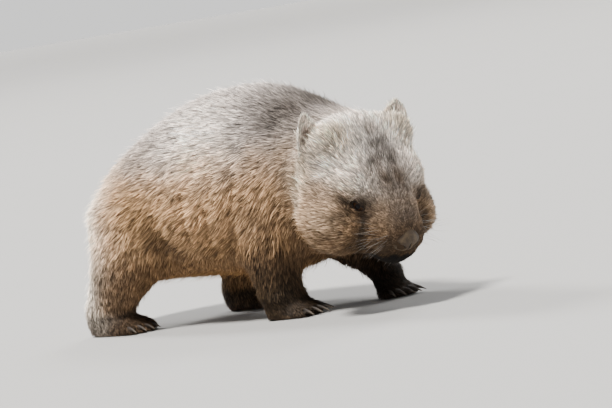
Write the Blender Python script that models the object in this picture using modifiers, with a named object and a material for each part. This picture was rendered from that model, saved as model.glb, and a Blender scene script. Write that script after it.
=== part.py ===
"""Bare-nosed wombat, life size, standing mid-stride with its head lowered and turned to its right.

The body faces +X, its left side is +Y, and its soles stand on Z = 0. All sizes are metres and run out
to the tips of the coat. Each mass of flesh is a tube of oval sections carried along a bent path. The
masses are fused, smoothed and thinned, and the fused body is then parted by thin cuts into the pieces
that a person would name. Ears, eyes, nose pad, tail and claws are made on their own and let in.
"""
import math

import bmesh
import bpy
import numpy as np
from mathutils import Matrix, Vector

# Driving dimensions
GAP = 0.0003                  # clear space between neighbouring pieces
RING_SIDES = 28               # corners in each oval section
RINGS = 34                    # sections along each mass
BODY_VOXEL = 0.0075           # the big masses are fused coarsely and smoothed hard
BODY_SMOOTHING = 16
LIMB_VOXEL = 0.0045           # the feet and lower legs are fused finely and smoothed little
LIMB_SMOOTHING = 5
BODY_TRIANGLES = 3600         # triangles kept in the fused body
BOX_MIDDLE = (0.06182, -0.01777)        # middle of the finished model's box, brought over the origin

# Head: where its centre is, and how its face is turned
HEAD_CENTRE = (0.2955, -0.067, 0.177)
HEAD_YAW = math.radians(-13.3)
HEAD_PITCH = math.radians(34.4)
HEAD_ROLL = math.radians(-0.7)

# Face: places are forward of, aside of and above the head centre
EYE = (0.0430, 0.0520, 0.0020)
EYE_OUTWARD = (0.62, 0.77, 0.14)
EYE_RADIUS = 0.0095
ORBIT_RADIUS = 0.0150                   # hollow in the coat round each eye
ORBIT_DEPTH = 0.0200
NOSE_PAD = (0.0990, 0.0, -0.0310)
NOSE_PAD_RADII = (0.0110, 0.0240, 0.0160)

# Ears: foot and tip of each from the head centre, the way it opens, and its shape
EAR_FEET = {1: (-0.0400, 0.0600, 0.0450), -1: (-0.0540, 0.0810, 0.0440)}
EAR_TIPS = {1: (-0.0680, 0.0930, 0.0800), -1: (-0.0650, 0.0945, 0.0895)}
EAR_FACINGS = {1: (1.00, -0.40, 0.15), -1: (1.00, 0.12, 0.10)}
EAR_HALF_WIDTHS = {1: 0.0265, -1: 0.0205}
EAR_BLUNT = 0.22                        # width left at the tip, as a share of the width at the foot
EAR_CURL = math.radians(46)             # how far each edge is curled round from the middle
EAR_THICKNESS = 0.0080
EAR_COLUMNS = 7
EAR_ROWS = 8

# Sections of each mass: centre (x, y, z), half width, half height above, half height below
TRUNK = (
    ((-0.232, 0.000, 0.160), 0.048, 0.030, 0.050),
    ((-0.212, 0.000, 0.161), 0.077, 0.052, 0.077),
    ((-0.175, 0.000, 0.165), 0.106, 0.083, 0.097),
    ((-0.115, 0.000, 0.170), 0.128, 0.117, 0.105),
    ((-0.045, 0.000, 0.174), 0.139, 0.146, 0.110),
    ((0.040, -0.002, 0.178), 0.140, 0.159, 0.117),
    ((0.110, -0.004, 0.183), 0.133, 0.150, 0.122),
    ((0.165, -0.008, 0.186), 0.116, 0.126, 0.114),
    ((0.205, -0.014, 0.188), 0.096, 0.105, 0.097),
)
NECK = (
    ((0.130, -0.004, 0.190), 0.100, 0.110, 0.090),
    ((0.180, -0.014, 0.196), 0.100, 0.099, 0.090),
    ((0.230, -0.034, 0.196), 0.098, 0.091, 0.085),
    ((0.275, -0.056, 0.188), 0.090, 0.082, 0.074),
)
# Head sections lie across its own forward axis: forward, up of centre, half width, above, below
HEAD = (
    (-0.092, 0.002, 0.064, 0.056, 0.058),
    (-0.066, 0.000, 0.091, 0.085, 0.074),
    (-0.035, -0.003, 0.098, 0.088, 0.078),
    (0.000, -0.010, 0.096, 0.078, 0.072),
    (0.030, -0.018, 0.083, 0.070, 0.064),
    (0.055, -0.027, 0.062, 0.060, 0.054),
    (0.078, -0.034, 0.050, 0.047, 0.045),
    (0.096, -0.040, 0.043, 0.036, 0.038),
)
CHEEK = ((0.0140, 0.0630, -0.0400), (0.062, 0.052, 0.049))
BROW = ((0.0100, 0.0440, 0.0240), (0.045, 0.040, 0.032))
EAR_ROOT = ((-0.0380, 0.0580, 0.0450), (0.036, 0.044, 0.043))

# Legs: joints down each one, and the half sizes (across, along) of the section at each
RIGHT_HIND = (
    ((-0.130, -0.072, 0.175), 0.062, 0.074),
    ((-0.140, -0.086, 0.115), 0.051, 0.062),
    ((-0.174, -0.084, 0.070), 0.041, 0.045),
    ((-0.201, -0.080, 0.036), 0.035, 0.034),
    ((-0.206, -0.080, 0.006), 0.034, 0.034),
)
LEFT_HIND = (
    ((-0.090, 0.076, 0.175), 0.060, 0.072),
    ((-0.062, 0.088, 0.115), 0.050, 0.060),
    ((-0.058, 0.084, 0.070), 0.040, 0.044),
    ((-0.066, 0.080, 0.036), 0.035, 0.036),
    ((-0.067, 0.080, 0.006), 0.034, 0.036),
)
RIGHT_FORE = (
    ((0.127, -0.070, 0.185), 0.058, 0.060),
    ((0.122, -0.082, 0.115), 0.049, 0.049),
    ((0.121, -0.078, 0.065), 0.040, 0.038),
    ((0.122, -0.072, 0.032), 0.035, 0.035),
    ((0.123, -0.069, 0.006), 0.033, 0.034),
)
LEFT_FORE = (
    ((0.140, 0.066, 0.185), 0.056, 0.060),
    ((0.122, 0.080, 0.115), 0.046, 0.050),
    ((0.142, 0.080, 0.082), 0.037, 0.035),
    ((0.186, 0.072, 0.062), 0.031, 0.030),
    ((0.211, 0.064, 0.036), 0.028, 0.026),
    ((0.215, 0.062, 0.010), 0.028, 0.025),
)
# Feet: heel, front of the sole, half width at heel and toes, height at heel and toes
FEET = {
    "right_hind": ((-0.214, -0.079), (-0.138, -0.088), 0.030, 0.034, 0.040, 0.022),
    "left_hind": ((-0.078, 0.079), (-0.002, 0.088), 0.030, 0.034, 0.040, 0.022),
    "right_fore": ((0.107, -0.071), (0.153, -0.063), 0.032, 0.037, 0.036, 0.023),
    "left_fore": ((0.210, 0.063), (0.229, 0.059), 0.027, 0.034, 0.034, 0.023),
}
TOES = 5
CLAWLESS = {"right_hind": 4, "left_hind": 0}      # the hind foot's inner toe, counted from its right
CLAW_LENGTH = {"right_hind": 0.016, "left_hind": 0.016, "right_fore": 0.021, "left_fore": 0.021}
CLAW_RADIUS = 0.0036
CLAW_FLATNESS = 0.8           # a claw's width as a share of its height
CLAW_TAPER = 0.80             # share of its thickness that a claw loses towards the point
CLAW_HEIGHT = 0.0105          # of a claw's root above the floor
CLAW_ROOT = 0.004             # length of claw inside the toe
CLAW_DROP = 0.0066            # how far a claw's point lies below its root
CLAW_SIDES = 6
CLAW_RINGS = 4
TOE_REACH = 0.017             # how far the middle toe stands out of the sole's front edge
TOE_LENGTH = 0.030
TOE_HEIGHT = 0.014
TOE_FAN = 0.32                # how far the outer toes splay, as a slope
SOLE_LEVEL = 0.004            # a foot's widest level, just over the floor
TAIL_PATH = ((-0.205, 0.000, 0.130), (-0.244, 0.000, 0.108))
TAIL_RADIUS = 0.011

# Each leg is an upright L in the YZ plane run along X: back, front, inner face of its lower part,
# inner face of its upper part, floor of the lower part, level of the step, top
LEG_REGIONS = {
    "right_hind_leg": (-0.275, -0.050, -0.020, -0.058, 0.036, 0.052, 0.190),
    "left_hind_leg": (-0.175, 0.012, 0.020, 0.058, 0.036, 0.052, 0.190),
    "right_foreleg": (0.040, 0.184, -0.020, -0.058, 0.034, 0.052, 0.190),
    "left_foreleg": (0.060, 0.178, 0.036, 0.058, 0.020, 0.074, 0.190),
}
# Boxes: lowest and highest corner
FOOT_REGIONS = {
    "right_hind_foot": ((-0.290, -0.190, -0.010), (-0.050, -0.020, 0.036)),
    "left_hind_foot": ((-0.175, 0.020, -0.010), (0.060, 0.190, 0.036)),
    "right_forefoot": ((0.040, -0.190, -0.010), (0.220, -0.020, 0.034)),
    "left_forefoot": ((0.178, 0.020, -0.010), (0.300, 0.190, 0.093)),
}
FOOT_PIECES = {"right_hind": "right_hind_foot", "left_hind": "left_hind_foot",
               "right_fore": "right_forefoot", "left_fore": "left_forefoot"}
LEG_OUTSIDE = 0.190
NECK_REGION = ((0.200, -0.200, 0.093), (0.420, 0.200, 0.400))
HEAD_REGION = ((-0.052, -0.125, -0.105), (0.150, 0.125, 0.130))

FUR = (0.36, 0.28, 0.20)
FUR_DARK = (0.10, 0.07, 0.05)
FUR_PALE = (0.52, 0.45, 0.36)
NOSE_SKIN = (0.17, 0.11, 0.075)
EYE_BLACK = (0.010, 0.007, 0.005)
CLAW_HORN = (0.09, 0.075, 0.06)


def clear_scene():
    """Take away whatever the opened file starts with."""
    for thing in list(bpy.data.objects):
        bpy.data.objects.remove(thing, do_unlink=True)


def collection(name):
    """Make a collection in the scene."""
    made = bpy.data.collections.new(name)
    bpy.context.scene.collection.children.link(made)
    return made


def material(name, colour, roughness, metallic=0.0):
    """A plain Principled material."""
    made = bpy.data.materials.new(name)
    made.use_nodes = True
    shader = made.node_tree.nodes["Principled BSDF"]
    shader.inputs["Base Color"].default_value = (*colour, 1.0)
    shader.inputs["Roughness"].default_value = roughness
    shader.inputs["Metallic"].default_value = metallic
    made.diffuse_color = (*colour, 1.0)
    return made


def new_object(name, mesh, home, look=None):
    """An object for the mesh, linked into the collection and given its material."""
    made = bpy.data.objects.new(name, mesh)
    home.objects.link(made)
    if look is not None:
        mesh.materials.clear()
        mesh.materials.append(look)
        mesh.shade_smooth()
        mesh.set_sharp_from_angle(angle=math.radians(50))
    return made


def cutter(name, mesh, home):
    """A shape that only cuts: drawn as wire and kept out of the model."""
    made = new_object(name, mesh, home)
    made.hide_render = True
    made.display_type = "WIRE"
    return made


def evaluated_mesh(thing):
    """The mesh that the object's modifiers give, as a mesh of its own."""
    bpy.context.view_layer.update()
    graph = bpy.context.evaluated_depsgraph_get()
    return bpy.data.meshes.new_from_object(thing.evaluated_get(graph))


def boolean(thing, operation, other):
    """Add an exact Boolean with another object."""
    made = thing.modifiers.new(f"{operation.lower()}_{other.name}", "BOOLEAN")
    made.operation = operation
    made.solver = "EXACT"
    made.object = other


def shaped(name, build):
    """Make a mesh by running a building function on an empty shape."""
    shape = bmesh.new()
    build(shape)
    bmesh.ops.recalc_face_normals(shape, faces=shape.faces)
    mesh = bpy.data.meshes.new(name)
    shape.to_mesh(mesh)
    shape.free()
    return mesh


def smooth_path(rows, count):
    """Cubic curve (Catmull-Rom) through the rows, read at even steps of chord length."""
    rows = np.asarray(rows, float)
    steps = np.linalg.norm(np.diff(rows[:, :3], axis=0), axis=1)
    knots = np.concatenate([[0.0], np.cumsum(steps)])
    slopes = np.gradient(rows, knots, axis=0)
    at = np.linspace(0.0, knots[-1], count)
    left = np.clip(np.searchsorted(knots, at, side="right") - 1, 0, len(knots) - 2)
    width = (knots[left + 1] - knots[left])[:, None]
    t = ((at - knots[left])[:, None]) / width
    start = (2 * t**3 - 3 * t**2 + 1) * rows[left] + (t**3 - 2 * t**2 + t) * width * slopes[left]
    end = (3 * t**2 - 2 * t**3) * rows[left + 1] + (t**3 - t**2) * width * slopes[left + 1]
    return start + end


def closed_tube(name, rings, poles):
    """Skin a list of rings of equal size, and close each end on its pole."""
    sides = len(rings[0])

    def build(shape):
        """Put in the rings' points and poles, then the bands and fans between them."""
        rows = [[shape.verts.new(point) for point in ring] for ring in rings]
        first, last = shape.verts.new(poles[0]), shape.verts.new(poles[1])
        for corner in range(sides):
            after = (corner + 1) % sides
            for row, following in zip(rows, rows[1:]):
                shape.faces.new((row[corner], row[after], following[after], following[corner]))
            shape.faces.new((rows[0][after], rows[0][corner], first))
            shape.faces.new((rows[-1][corner], rows[-1][after], last))

    return shaped(name, build)


def oval_tube(name, centres, sides, ups, wide, above, below, dome):
    """A closed tube of ovals: each ring is centre + side*wide*cos + up*(above or below)*sin.

    Each end is closed by a quarter-ellipse dome, dome times as deep as the end ring is wide.
    """
    ahead = np.cross(sides, ups)
    quarter = np.linspace(0.0, math.pi / 2, 6)[1:-1]

    def end_rings(index, sign):
        """Rings of one dome, from the tube's end outwards, and its pole."""
        deep = wide[index] * dome * sign
        rings = [(centres[index] + ahead[index] * deep * math.sin(q), sides[index], ups[index],
                  wide[index] * math.cos(q), above[index] * math.cos(q), below[index] * math.cos(q))
                 for q in quarter]
        return rings, centres[index] + ahead[index] * deep

    first, first_pole = end_rings(0, -1.0)
    last, last_pole = end_rings(-1, 1.0)
    rows = first[::-1] + list(zip(centres, sides, ups, wide, above, below)) + last
    turn = np.linspace(0.0, 2 * math.pi, RING_SIDES, endpoint=False)
    cos, sin = np.cos(turn)[:, None], np.sin(turn)[:, None]
    rings = [c + s * w * cos + u * np.where(sin > 0, a, b) * sin for c, s, u, w, a, b in rows]
    return closed_tube(name, rings, (first_pole, last_pole))


def body_mass(name, rows, dome=0.35):
    """A mass along the body: its rings stand across the path, with their tops straight up."""
    path = smooth_path([(*c, w, a, b) for c, w, a, b in rows], RINGS)
    centres = path[:, :3]
    ahead = np.gradient(centres, axis=0)
    ahead[:, 2] = 0.0
    ahead /= np.linalg.norm(ahead, axis=1, keepdims=True)
    ups = np.tile((0.0, 0.0, 1.0), (len(path), 1))
    sides = np.cross(ups, ahead)
    return oval_tube(name, centres, sides, ups, path[:, 3], path[:, 4], path[:, 5], dome)


def head_frame():
    """The head's own axes: columns forward, aside (to its left) and up, then the centre."""
    forward = Vector((math.cos(HEAD_YAW) * math.cos(HEAD_PITCH),
                      math.sin(HEAD_YAW) * math.cos(HEAD_PITCH), -math.sin(HEAD_PITCH)))
    level = Vector((-math.sin(HEAD_YAW), math.cos(HEAD_YAW), 0.0))
    above = forward.cross(level)
    aside = level * math.cos(HEAD_ROLL) + above * math.sin(HEAD_ROLL)
    up = above * math.cos(HEAD_ROLL) - level * math.sin(HEAD_ROLL)
    frame = Matrix((forward, aside, up)).transposed().to_4x4()
    frame.translation = HEAD_CENTRE
    return frame


def head_mass():
    """The head, lofted along its own forward axis and then set in place."""
    path = smooth_path([(f, 0.0, u, w, a, b) for f, u, w, a, b in HEAD], RINGS)
    sides = np.tile((0.0, 1.0, 0.0), (RINGS, 1))
    ups = np.tile((0.0, 0.0, 1.0), (RINGS, 1))
    mesh = oval_tube("head_mass", path[:, :3], sides, ups, path[:, 3], path[:, 4], path[:, 5], 0.28)
    mesh.transform(head_frame())
    return mesh


def head_ball(name, centre, radii, side=1, segments=14, rings=8, grow=0.0):
    """A ball on the head, from its place and half sizes in the head's axes, grown where it cuts."""
    forward, aside, up = centre

    def build(shape):
        """A unit ball, scaled and put in place."""
        bmesh.ops.create_uvsphere(shape, u_segments=segments, v_segments=rings, radius=1.0)
        bmesh.ops.scale(shape, vec=[radius + grow for radius in radii], verts=shape.verts)
        bmesh.ops.translate(shape, vec=(forward, side * aside, up), verts=shape.verts)

    mesh = shaped(name, build)
    mesh.transform(head_frame())
    return mesh


def leg_mass(name, rows):
    """A leg: ovals square to the line down its joints, with their long axis fore and aft."""
    path = smooth_path([(*c, across, along) for c, across, along in rows], RINGS)
    centres = path[:, :3]
    ahead = np.gradient(centres, axis=0)
    ahead /= np.linalg.norm(ahead, axis=1, keepdims=True)
    ups = np.cross(ahead, (0.0, 1.0, 0.0))
    ups /= np.linalg.norm(ups, axis=1, keepdims=True)
    sides = np.cross(ups, ahead)
    return oval_tube(name, centres, sides, ups, path[:, 3], path[:, 4], path[:, 4], 0.15)


def foot_mass(name, heel, front, heel_half, front_half, heel_height, front_height):
    """A foot: a low oval tube from heel to toes, its lower half sunk under the floor."""
    along = np.linspace(0.0, 1.0, 5)[:, None]
    ground = np.asarray(heel) + (np.asarray(front) - np.asarray(heel)) * along
    half = heel_half + (front_half - heel_half) * along
    tall = heel_height + (front_height - heel_height) * along
    rows = [((g[0], g[1], SOLE_LEVEL), float(h[0]), float(t[0]), 3 * SOLE_LEVEL)
            for g, h, t in zip(ground, half, tall)]
    return body_mass(name, rows, dome=0.4)


def toe_places(foot):
    """Tip and direction of each toe, fanned over the front edge of the sole from its right."""
    heel, front, _, half, _, _ = FEET[foot]
    ahead = Vector((front[0] - heel[0], front[1] - heel[1], 0.0)).normalized()
    across = Vector((-ahead.y, ahead.x, 0.0))
    places = []
    for index in range(TOES):
        offset = (2 * index + 1 - TOES) / TOES
        reach = TOE_REACH * (1.0 - 0.75 * offset * offset)
        tip = Vector((*front, 0.0)) + across * (offset * half * 0.96) + ahead * reach
        places.append((tip, (ahead + across * (TOE_FAN * offset)).normalized()))
    return places


def toe_mass(foot, tip, direction):
    """One toe: a short low tube that ends where its claw comes out."""
    half = FEET[foot][3] / TOES
    back = tip - direction * TOE_LENGTH
    rows = [((*back.xy, 1.5 * SOLE_LEVEL), half, TOE_HEIGHT, TOE_HEIGHT),
            ((*tip.xy, 1.5 * SOLE_LEVEL), half, 0.8 * TOE_HEIGHT, TOE_HEIGHT)]
    return body_mass(f"{foot}_toe_mass", rows, dome=0.6)


def claw_mesh(name, tip, direction, length, grow=0.0):
    """One claw: oval sections along a path that drops with the square of the way to the point.

    Each section's radius is the root's, less the taper times the way along to the power 1.3.
    """
    turn = np.linspace(0.0, 2 * math.pi, CLAW_SIDES, endpoint=False)
    ahead = np.array(direction)
    across = np.array((-direction.y, direction.x, 0.0))
    upright = np.array((0.0, 0.0, 1.0))
    start = np.array((tip.x, tip.y, CLAW_HEIGHT)) - ahead * CLAW_ROOT
    rings = []
    for way in np.linspace(0.0, 1.0, CLAW_RINGS):
        centre = start + ahead * (length * way) - upright * (CLAW_DROP * way * way)
        radius = CLAW_RADIUS * (1.0 - CLAW_TAPER * way**1.3) + grow
        circle = across * np.cos(turn)[:, None] * CLAW_FLATNESS + upright * np.sin(turn)[:, None]
        rings.append(centre + radius * circle)
    point = centre + ahead * (CLAW_RADIUS / 3 + grow) - upright * (CLAW_RADIUS / 6)
    return closed_tube(name, rings, (start - ahead * grow, point))


def joined(name, meshes):
    """Several meshes as one."""
    def build(shape):
        """Take in every mesh."""
        for mesh in meshes:
            shape.from_mesh(mesh)

    return shaped(name, build)


def fused(name, masses, voxel, smoothing, triangles=None):
    """Fuse masses into one closed skin, smooth it, and thin it to a count where one is given."""
    body = bpy.data.objects.new(name, joined(name, masses))
    bpy.context.scene.collection.objects.link(body)
    remesh = body.modifiers.new("fuse", "REMESH")
    remesh.mode = "VOXEL"
    remesh.voxel_size = voxel
    smooth = body.modifiers.new("smooth", "SMOOTH")
    smooth.factor = 0.5
    smooth.iterations = smoothing
    if triangles:
        fine = evaluated_mesh(body)
        thin = body.modifiers.new("thin", "DECIMATE")
        thin.ratio = triangles / sum(len(face.vertices) - 2 for face in fine.polygons)
    mesh = evaluated_mesh(body)
    bpy.data.objects.remove(body, do_unlink=True)
    return mesh


def stand_on_floor(mesh):
    """Cut the mesh off level at Z = 0 and close the soles."""
    shape = bmesh.new()
    shape.from_mesh(mesh)
    everything = shape.verts[:] + shape.edges[:] + shape.faces[:]
    bmesh.ops.bisect_plane(shape, geom=everything, plane_co=(0, 0, 0), plane_no=(0, 0, -1),
                           clear_outer=True)
    bmesh.ops.holes_fill(shape, edges=[edge for edge in shape.edges if edge.is_boundary])
    bmesh.ops.triangulate(shape, faces=shape.faces)
    shape.to_mesh(mesh)
    shape.free()


def box(name, low, high, grow=0.0):
    """A box between two corners, grown all round."""
    low, high = Vector(low), Vector(high)

    def build(shape):
        """A unit cube, scaled and put in place."""
        bmesh.ops.create_cube(shape, size=1.0)
        bmesh.ops.scale(shape, vec=high - low + Vector((2 * grow,) * 3), verts=shape.verts)
        bmesh.ops.translate(shape, vec=(low + high) / 2, verts=shape.verts)

    return shaped(name, build)


def leg_block(name, back, front, inner_low, inner_high, floor, step, top, grow=0.0):
    """The L-shaped block that takes in one leg: narrow below the belly's level, wide above it."""
    side = math.copysign(1.0, inner_low)
    outside = side * (LEG_OUTSIDE + grow)
    low, high = inner_low - side * grow, inner_high - side * grow
    profile = ((outside, floor - grow), (low, floor - grow), (low, step + grow), (high, step + grow),
               (high, top + grow), (outside, top + grow))

    def build(shape):
        """The profile's face, pushed out along X."""
        face = shape.faces.new([shape.verts.new((back - grow, y, z)) for y, z in profile])
        out = bmesh.ops.extrude_face_region(shape, geom=[face])
        moved = [piece for piece in out["geom"] if isinstance(piece, bmesh.types.BMVert)]
        bmesh.ops.translate(shape, vec=(front - back + 2 * grow, 0, 0), verts=moved)

    return shaped(name, build)


def head_box(name, grow=0.0):
    """The box that parts the head, turned as the head is."""
    mesh = box(name, *HEAD_REGION, grow=grow)
    mesh.transform(head_frame())
    return mesh


def ear_shell(name, side):
    """One ear: a pointed leaf curled round its own height, given its thickness by Solidify.

    Across the leaf the surface is an arc of the curl angle. The half width narrows towards the tip as
    the root of one minus the height squared, down to a blunt end.
    """
    foot, tip = Vector(EAR_FEET[side]), Vector(EAR_TIPS[side])
    rise = (tip - foot).normalized()
    facing = Vector(EAR_FACINGS[side])
    facing = (facing - rise * facing.dot(rise)).normalized()
    across = rise.cross(facing)
    rows = []
    for height in np.linspace(0.0, 1.0, EAR_ROWS):
        half_width = EAR_HALF_WIDTHS[side] * max(EAR_BLUNT, math.sqrt(1.0 - height**2))
        radius = half_width / math.sin(EAR_CURL)
        row = []
        for turn in np.linspace(-EAR_CURL, EAR_CURL, EAR_COLUMNS):
            place = foot + (tip - foot) * height + across * (radius * math.sin(turn))
            place += facing * (radius * (1 - math.cos(turn)))
            row.append((place.x, side * place.y, place.z))
        rows.append(row)

    def build(shape):
        """The leaf's points and its squares."""
        grid = [[shape.verts.new(point) for point in row] for row in rows]
        for low, high in zip(grid, grid[1:]):
            for column in range(EAR_COLUMNS - 1):
                shape.faces.new((low[column], low[column + 1], high[column + 1], high[column]))

    leaf = bpy.data.objects.new(name, shaped(name, build))
    bpy.context.scene.collection.objects.link(leaf)
    thick = leaf.modifiers.new("thickness", "SOLIDIFY")
    thick.thickness = EAR_THICKNESS
    thick.offset = 0.0
    solid = joined(name, [evaluated_mesh(leaf)])
    bpy.data.objects.remove(leaf, do_unlink=True)
    solid.transform(head_frame())
    return solid


def orbit_mesh(name, side):
    """The flaring hollow over one eye: a cone that opens outwards from the eye's middle."""
    forward, aside, up = EYE
    outward = Vector((EYE_OUTWARD[0], side * EYE_OUTWARD[1], EYE_OUTWARD[2]))
    turn = outward.to_track_quat("Z", "Y").to_matrix()

    def build(shape):
        """A cone standing on the eye's middle, turned outwards."""
        bmesh.ops.create_cone(shape, cap_ends=True, segments=16, radius1=EYE_RADIUS * 0.98,
                              radius2=ORBIT_RADIUS, depth=ORBIT_DEPTH)
        bmesh.ops.translate(shape, vec=(0, 0, ORBIT_DEPTH / 2), verts=shape.verts)
        bmesh.ops.rotate(shape, cent=(0, 0, 0), matrix=turn, verts=shape.verts)
        bmesh.ops.translate(shape, vec=(forward, side * aside, up), verts=shape.verts)

    mesh = shaped(name, build)
    mesh.transform(head_frame())
    return mesh


def tail_mesh(name, grow=0.0):
    """The stub of a tail, a short round cone."""
    root, tip = Vector(TAIL_PATH[0]), Vector(TAIL_PATH[1])
    turn = (tip - root).to_track_quat("Z", "Y").to_matrix()

    def build(shape):
        """A cone from root to tip."""
        bmesh.ops.create_cone(shape, cap_ends=True, segments=12, radius1=TAIL_RADIUS + grow,
                              radius2=TAIL_RADIUS * 0.6 + grow, depth=(tip - root).length + 2 * grow)
        bmesh.ops.rotate(shape, cent=(0, 0, 0), matrix=turn, verts=shape.verts)
        bmesh.ops.translate(shape, vec=(root + tip) / 2, verts=shape.verts)

    return shaped(name, build)


def whole_body():
    """The fused body, thinned and standing on its soles."""
    big = [body_mass("trunk_mass", TRUNK), body_mass("neck_mass", NECK), head_mass()]
    for side in (1, -1):
        big.append(head_ball("cheek_mass", *CHEEK, side))
        big.append(head_ball("brow_mass", *BROW, side))
        big.append(head_ball("ear_root_mass", *EAR_ROOT, side))
    legs = {"right_hind": RIGHT_HIND, "left_hind": LEFT_HIND, "right_fore": RIGHT_FORE,
            "left_fore": LEFT_FORE}
    big += [leg_mass(f"{name}_mass", rows) for name, rows in legs.items()]
    fine = [fused("torso_mass", big, BODY_VOXEL, BODY_SMOOTHING)]
    for foot, sizes in FEET.items():
        fine.append(foot_mass(f"{foot}_foot_mass", *sizes))
        fine += [toe_mass(foot, tip, direction) for tip, direction in toe_places(foot)]
    body = fused("body_mass", fine, LIMB_VOXEL, LIMB_SMOOTHING, BODY_TRIANGLES)
    stand_on_floor(body)
    return body


def part_body(body, home, knives, looks):
    """Part the fused body into trunk, neck, head, legs and feet. Return the pieces by name."""
    half = GAP / 2
    shapes = {name: (leg_block, sizes) for name, sizes in LEG_REGIONS.items()}
    shapes.update({name: (box, corners) for name, corners in FOOT_REGIONS.items()})
    rooms, pieces = [], {}
    for name, (make, sizes) in shapes.items():
        rooms.append(cutter(f"{name}_room", make(f"{name}_room", *sizes, grow=half), knives))
        region = cutter(f"{name}_region", make(f"{name}_region", *sizes, grow=-half), knives)
        pieces[name] = new_object(name, body.copy(), home, looks["foot" in name])
        boolean(pieces[name], "INTERSECT", region)
    head_room = cutter("head_room", head_box("head_room", grow=GAP), knives)
    pieces["trunk"] = new_object("trunk", body.copy(), home, looks[False])
    neck_room = cutter("neck_room", box("neck_room", *NECK_REGION, grow=GAP), knives)
    tail_room = cutter("tail_room", tail_mesh("tail_room", grow=GAP), knives)
    for room in [*rooms, neck_room, head_room, tail_room]:
        boolean(pieces["trunk"], "DIFFERENCE", room)
    pieces["neck"] = new_object("neck", body.copy(), home, looks[False])
    boolean(pieces["neck"], "INTERSECT", cutter("neck_region", box("neck_region", *NECK_REGION), knives))
    boolean(pieces["neck"], "DIFFERENCE", head_room)
    pieces["head"] = new_object("head", body.copy(), home, looks[False])
    boolean(pieces["head"], "INTERSECT", cutter("head_region", head_box("head_region"), knives))
    return pieces


def add_face(head, body, home, knives, pale_fur):
    """Let eyes and nose pad into the head, and stand the ears on it."""
    surface = cutter("head_surface", body.copy(), knives)
    lift = surface.modifiers.new("lift", "DISPLACE")
    lift.strength = GAP
    lift.mid_level = 0.0
    eye_black = material("eye_black", EYE_BLACK, 0.08)
    ball = (EYE, (EYE_RADIUS,) * 3)
    for side, word in ((1, "left"), (-1, "right")):
        new_object(f"{word}_eye", head_ball(f"{word}_eye", *ball, side), home, eye_black)
        socket = head_ball(f"{word}_socket", *ball, side, grow=GAP)
        boolean(head, "DIFFERENCE", cutter(f"{word}_socket", socket, knives))
        boolean(head, "DIFFERENCE", cutter(f"{word}_orbit", orbit_mesh(f"{word}_orbit", side), knives))
        ear = new_object(f"{word}_ear", ear_shell(f"{word}_ear", side), home, pale_fur)
        boolean(ear, "DIFFERENCE", surface)
    nose_skin = material("nose_skin", NOSE_SKIN, 0.55)
    new_object("nose_pad", head_ball("nose_pad", NOSE_PAD, NOSE_PAD_RADII), home, nose_skin)
    room = head_ball("nose_pad_room", NOSE_PAD, NOSE_PAD_RADII, grow=GAP)
    boolean(head, "DIFFERENCE", cutter("nose_pad_room", room, knives))


def add_claws(pieces, home, knives):
    """Let the claws into the toes of each foot."""
    horn = material("claw_horn", CLAW_HORN, 0.45)
    for foot, piece in FOOT_PIECES.items():
        rooms = []
        for index, (tip, direction) in enumerate(toe_places(foot)):
            if index == CLAWLESS.get(foot):
                continue
            name, length = f"{foot}_claw_{index + 1}", CLAW_LENGTH[foot]
            new_object(name, claw_mesh(name, tip, direction, length), home, horn)
            rooms.append(claw_mesh("claw_room", tip, direction, length, grow=GAP))
        room = cutter(f"{foot}_claw_rooms", joined(f"{foot}_claw_rooms", rooms), knives)
        boolean(pieces[piece], "DIFFERENCE", room)


def main():
    """Build every piece and bring the middle of the footprint over the origin."""
    clear_scene()
    home = collection("wombat")
    knives = collection("cutters")
    fur = material("fur", FUR, 0.95)
    looks = {False: fur, True: material("dark_fur", FUR_DARK, 0.95)}
    body = whole_body()
    pieces = part_body(body, home, knives, looks)
    new_object("tail", tail_mesh("tail"), home, fur)
    add_face(pieces["head"], body, home, knives, material("pale_fur", FUR_PALE, 0.95))
    add_claws(pieces, home, knives)
    for thing in bpy.data.objects:
        thing.location = (-BOX_MIDDLE[0], -BOX_MIDDLE[1], 0.0)


main()
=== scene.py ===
"""Life-size bare-nosed wombat under a thick coat.

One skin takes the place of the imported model's flesh and lies inside it by the depth of the coat. Solid
tufts grow out of the skin along the lie of the coat. Eyes, lids, nose pad, claws and whiskers are pieces
of their own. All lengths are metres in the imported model's frame: +X ahead, +Y to the animal's left, +Z up.
"""
import itertools
import logging
import math
from dataclasses import dataclass, field
from enum import Enum

import bmesh
import bpy
import numpy as np
from mathutils import Matrix, Vector


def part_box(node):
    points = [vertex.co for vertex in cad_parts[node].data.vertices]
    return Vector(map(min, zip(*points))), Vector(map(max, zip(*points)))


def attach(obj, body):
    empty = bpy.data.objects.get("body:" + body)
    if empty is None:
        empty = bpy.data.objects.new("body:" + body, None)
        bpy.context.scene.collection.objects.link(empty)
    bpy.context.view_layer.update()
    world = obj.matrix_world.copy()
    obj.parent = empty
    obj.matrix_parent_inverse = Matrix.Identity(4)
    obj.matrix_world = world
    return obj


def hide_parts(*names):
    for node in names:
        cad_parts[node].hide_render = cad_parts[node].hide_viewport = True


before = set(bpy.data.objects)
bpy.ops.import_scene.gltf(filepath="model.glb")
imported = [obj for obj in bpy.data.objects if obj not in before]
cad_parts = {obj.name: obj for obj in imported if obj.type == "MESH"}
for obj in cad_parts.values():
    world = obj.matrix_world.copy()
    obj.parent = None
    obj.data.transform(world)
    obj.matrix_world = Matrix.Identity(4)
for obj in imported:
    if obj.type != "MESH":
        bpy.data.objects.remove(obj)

Array = np.ndarray
Span = tuple[float, float]
Triple = tuple[float, float, float]

log = logging.getLogger("wombat")
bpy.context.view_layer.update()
ROOT = "root"

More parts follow.
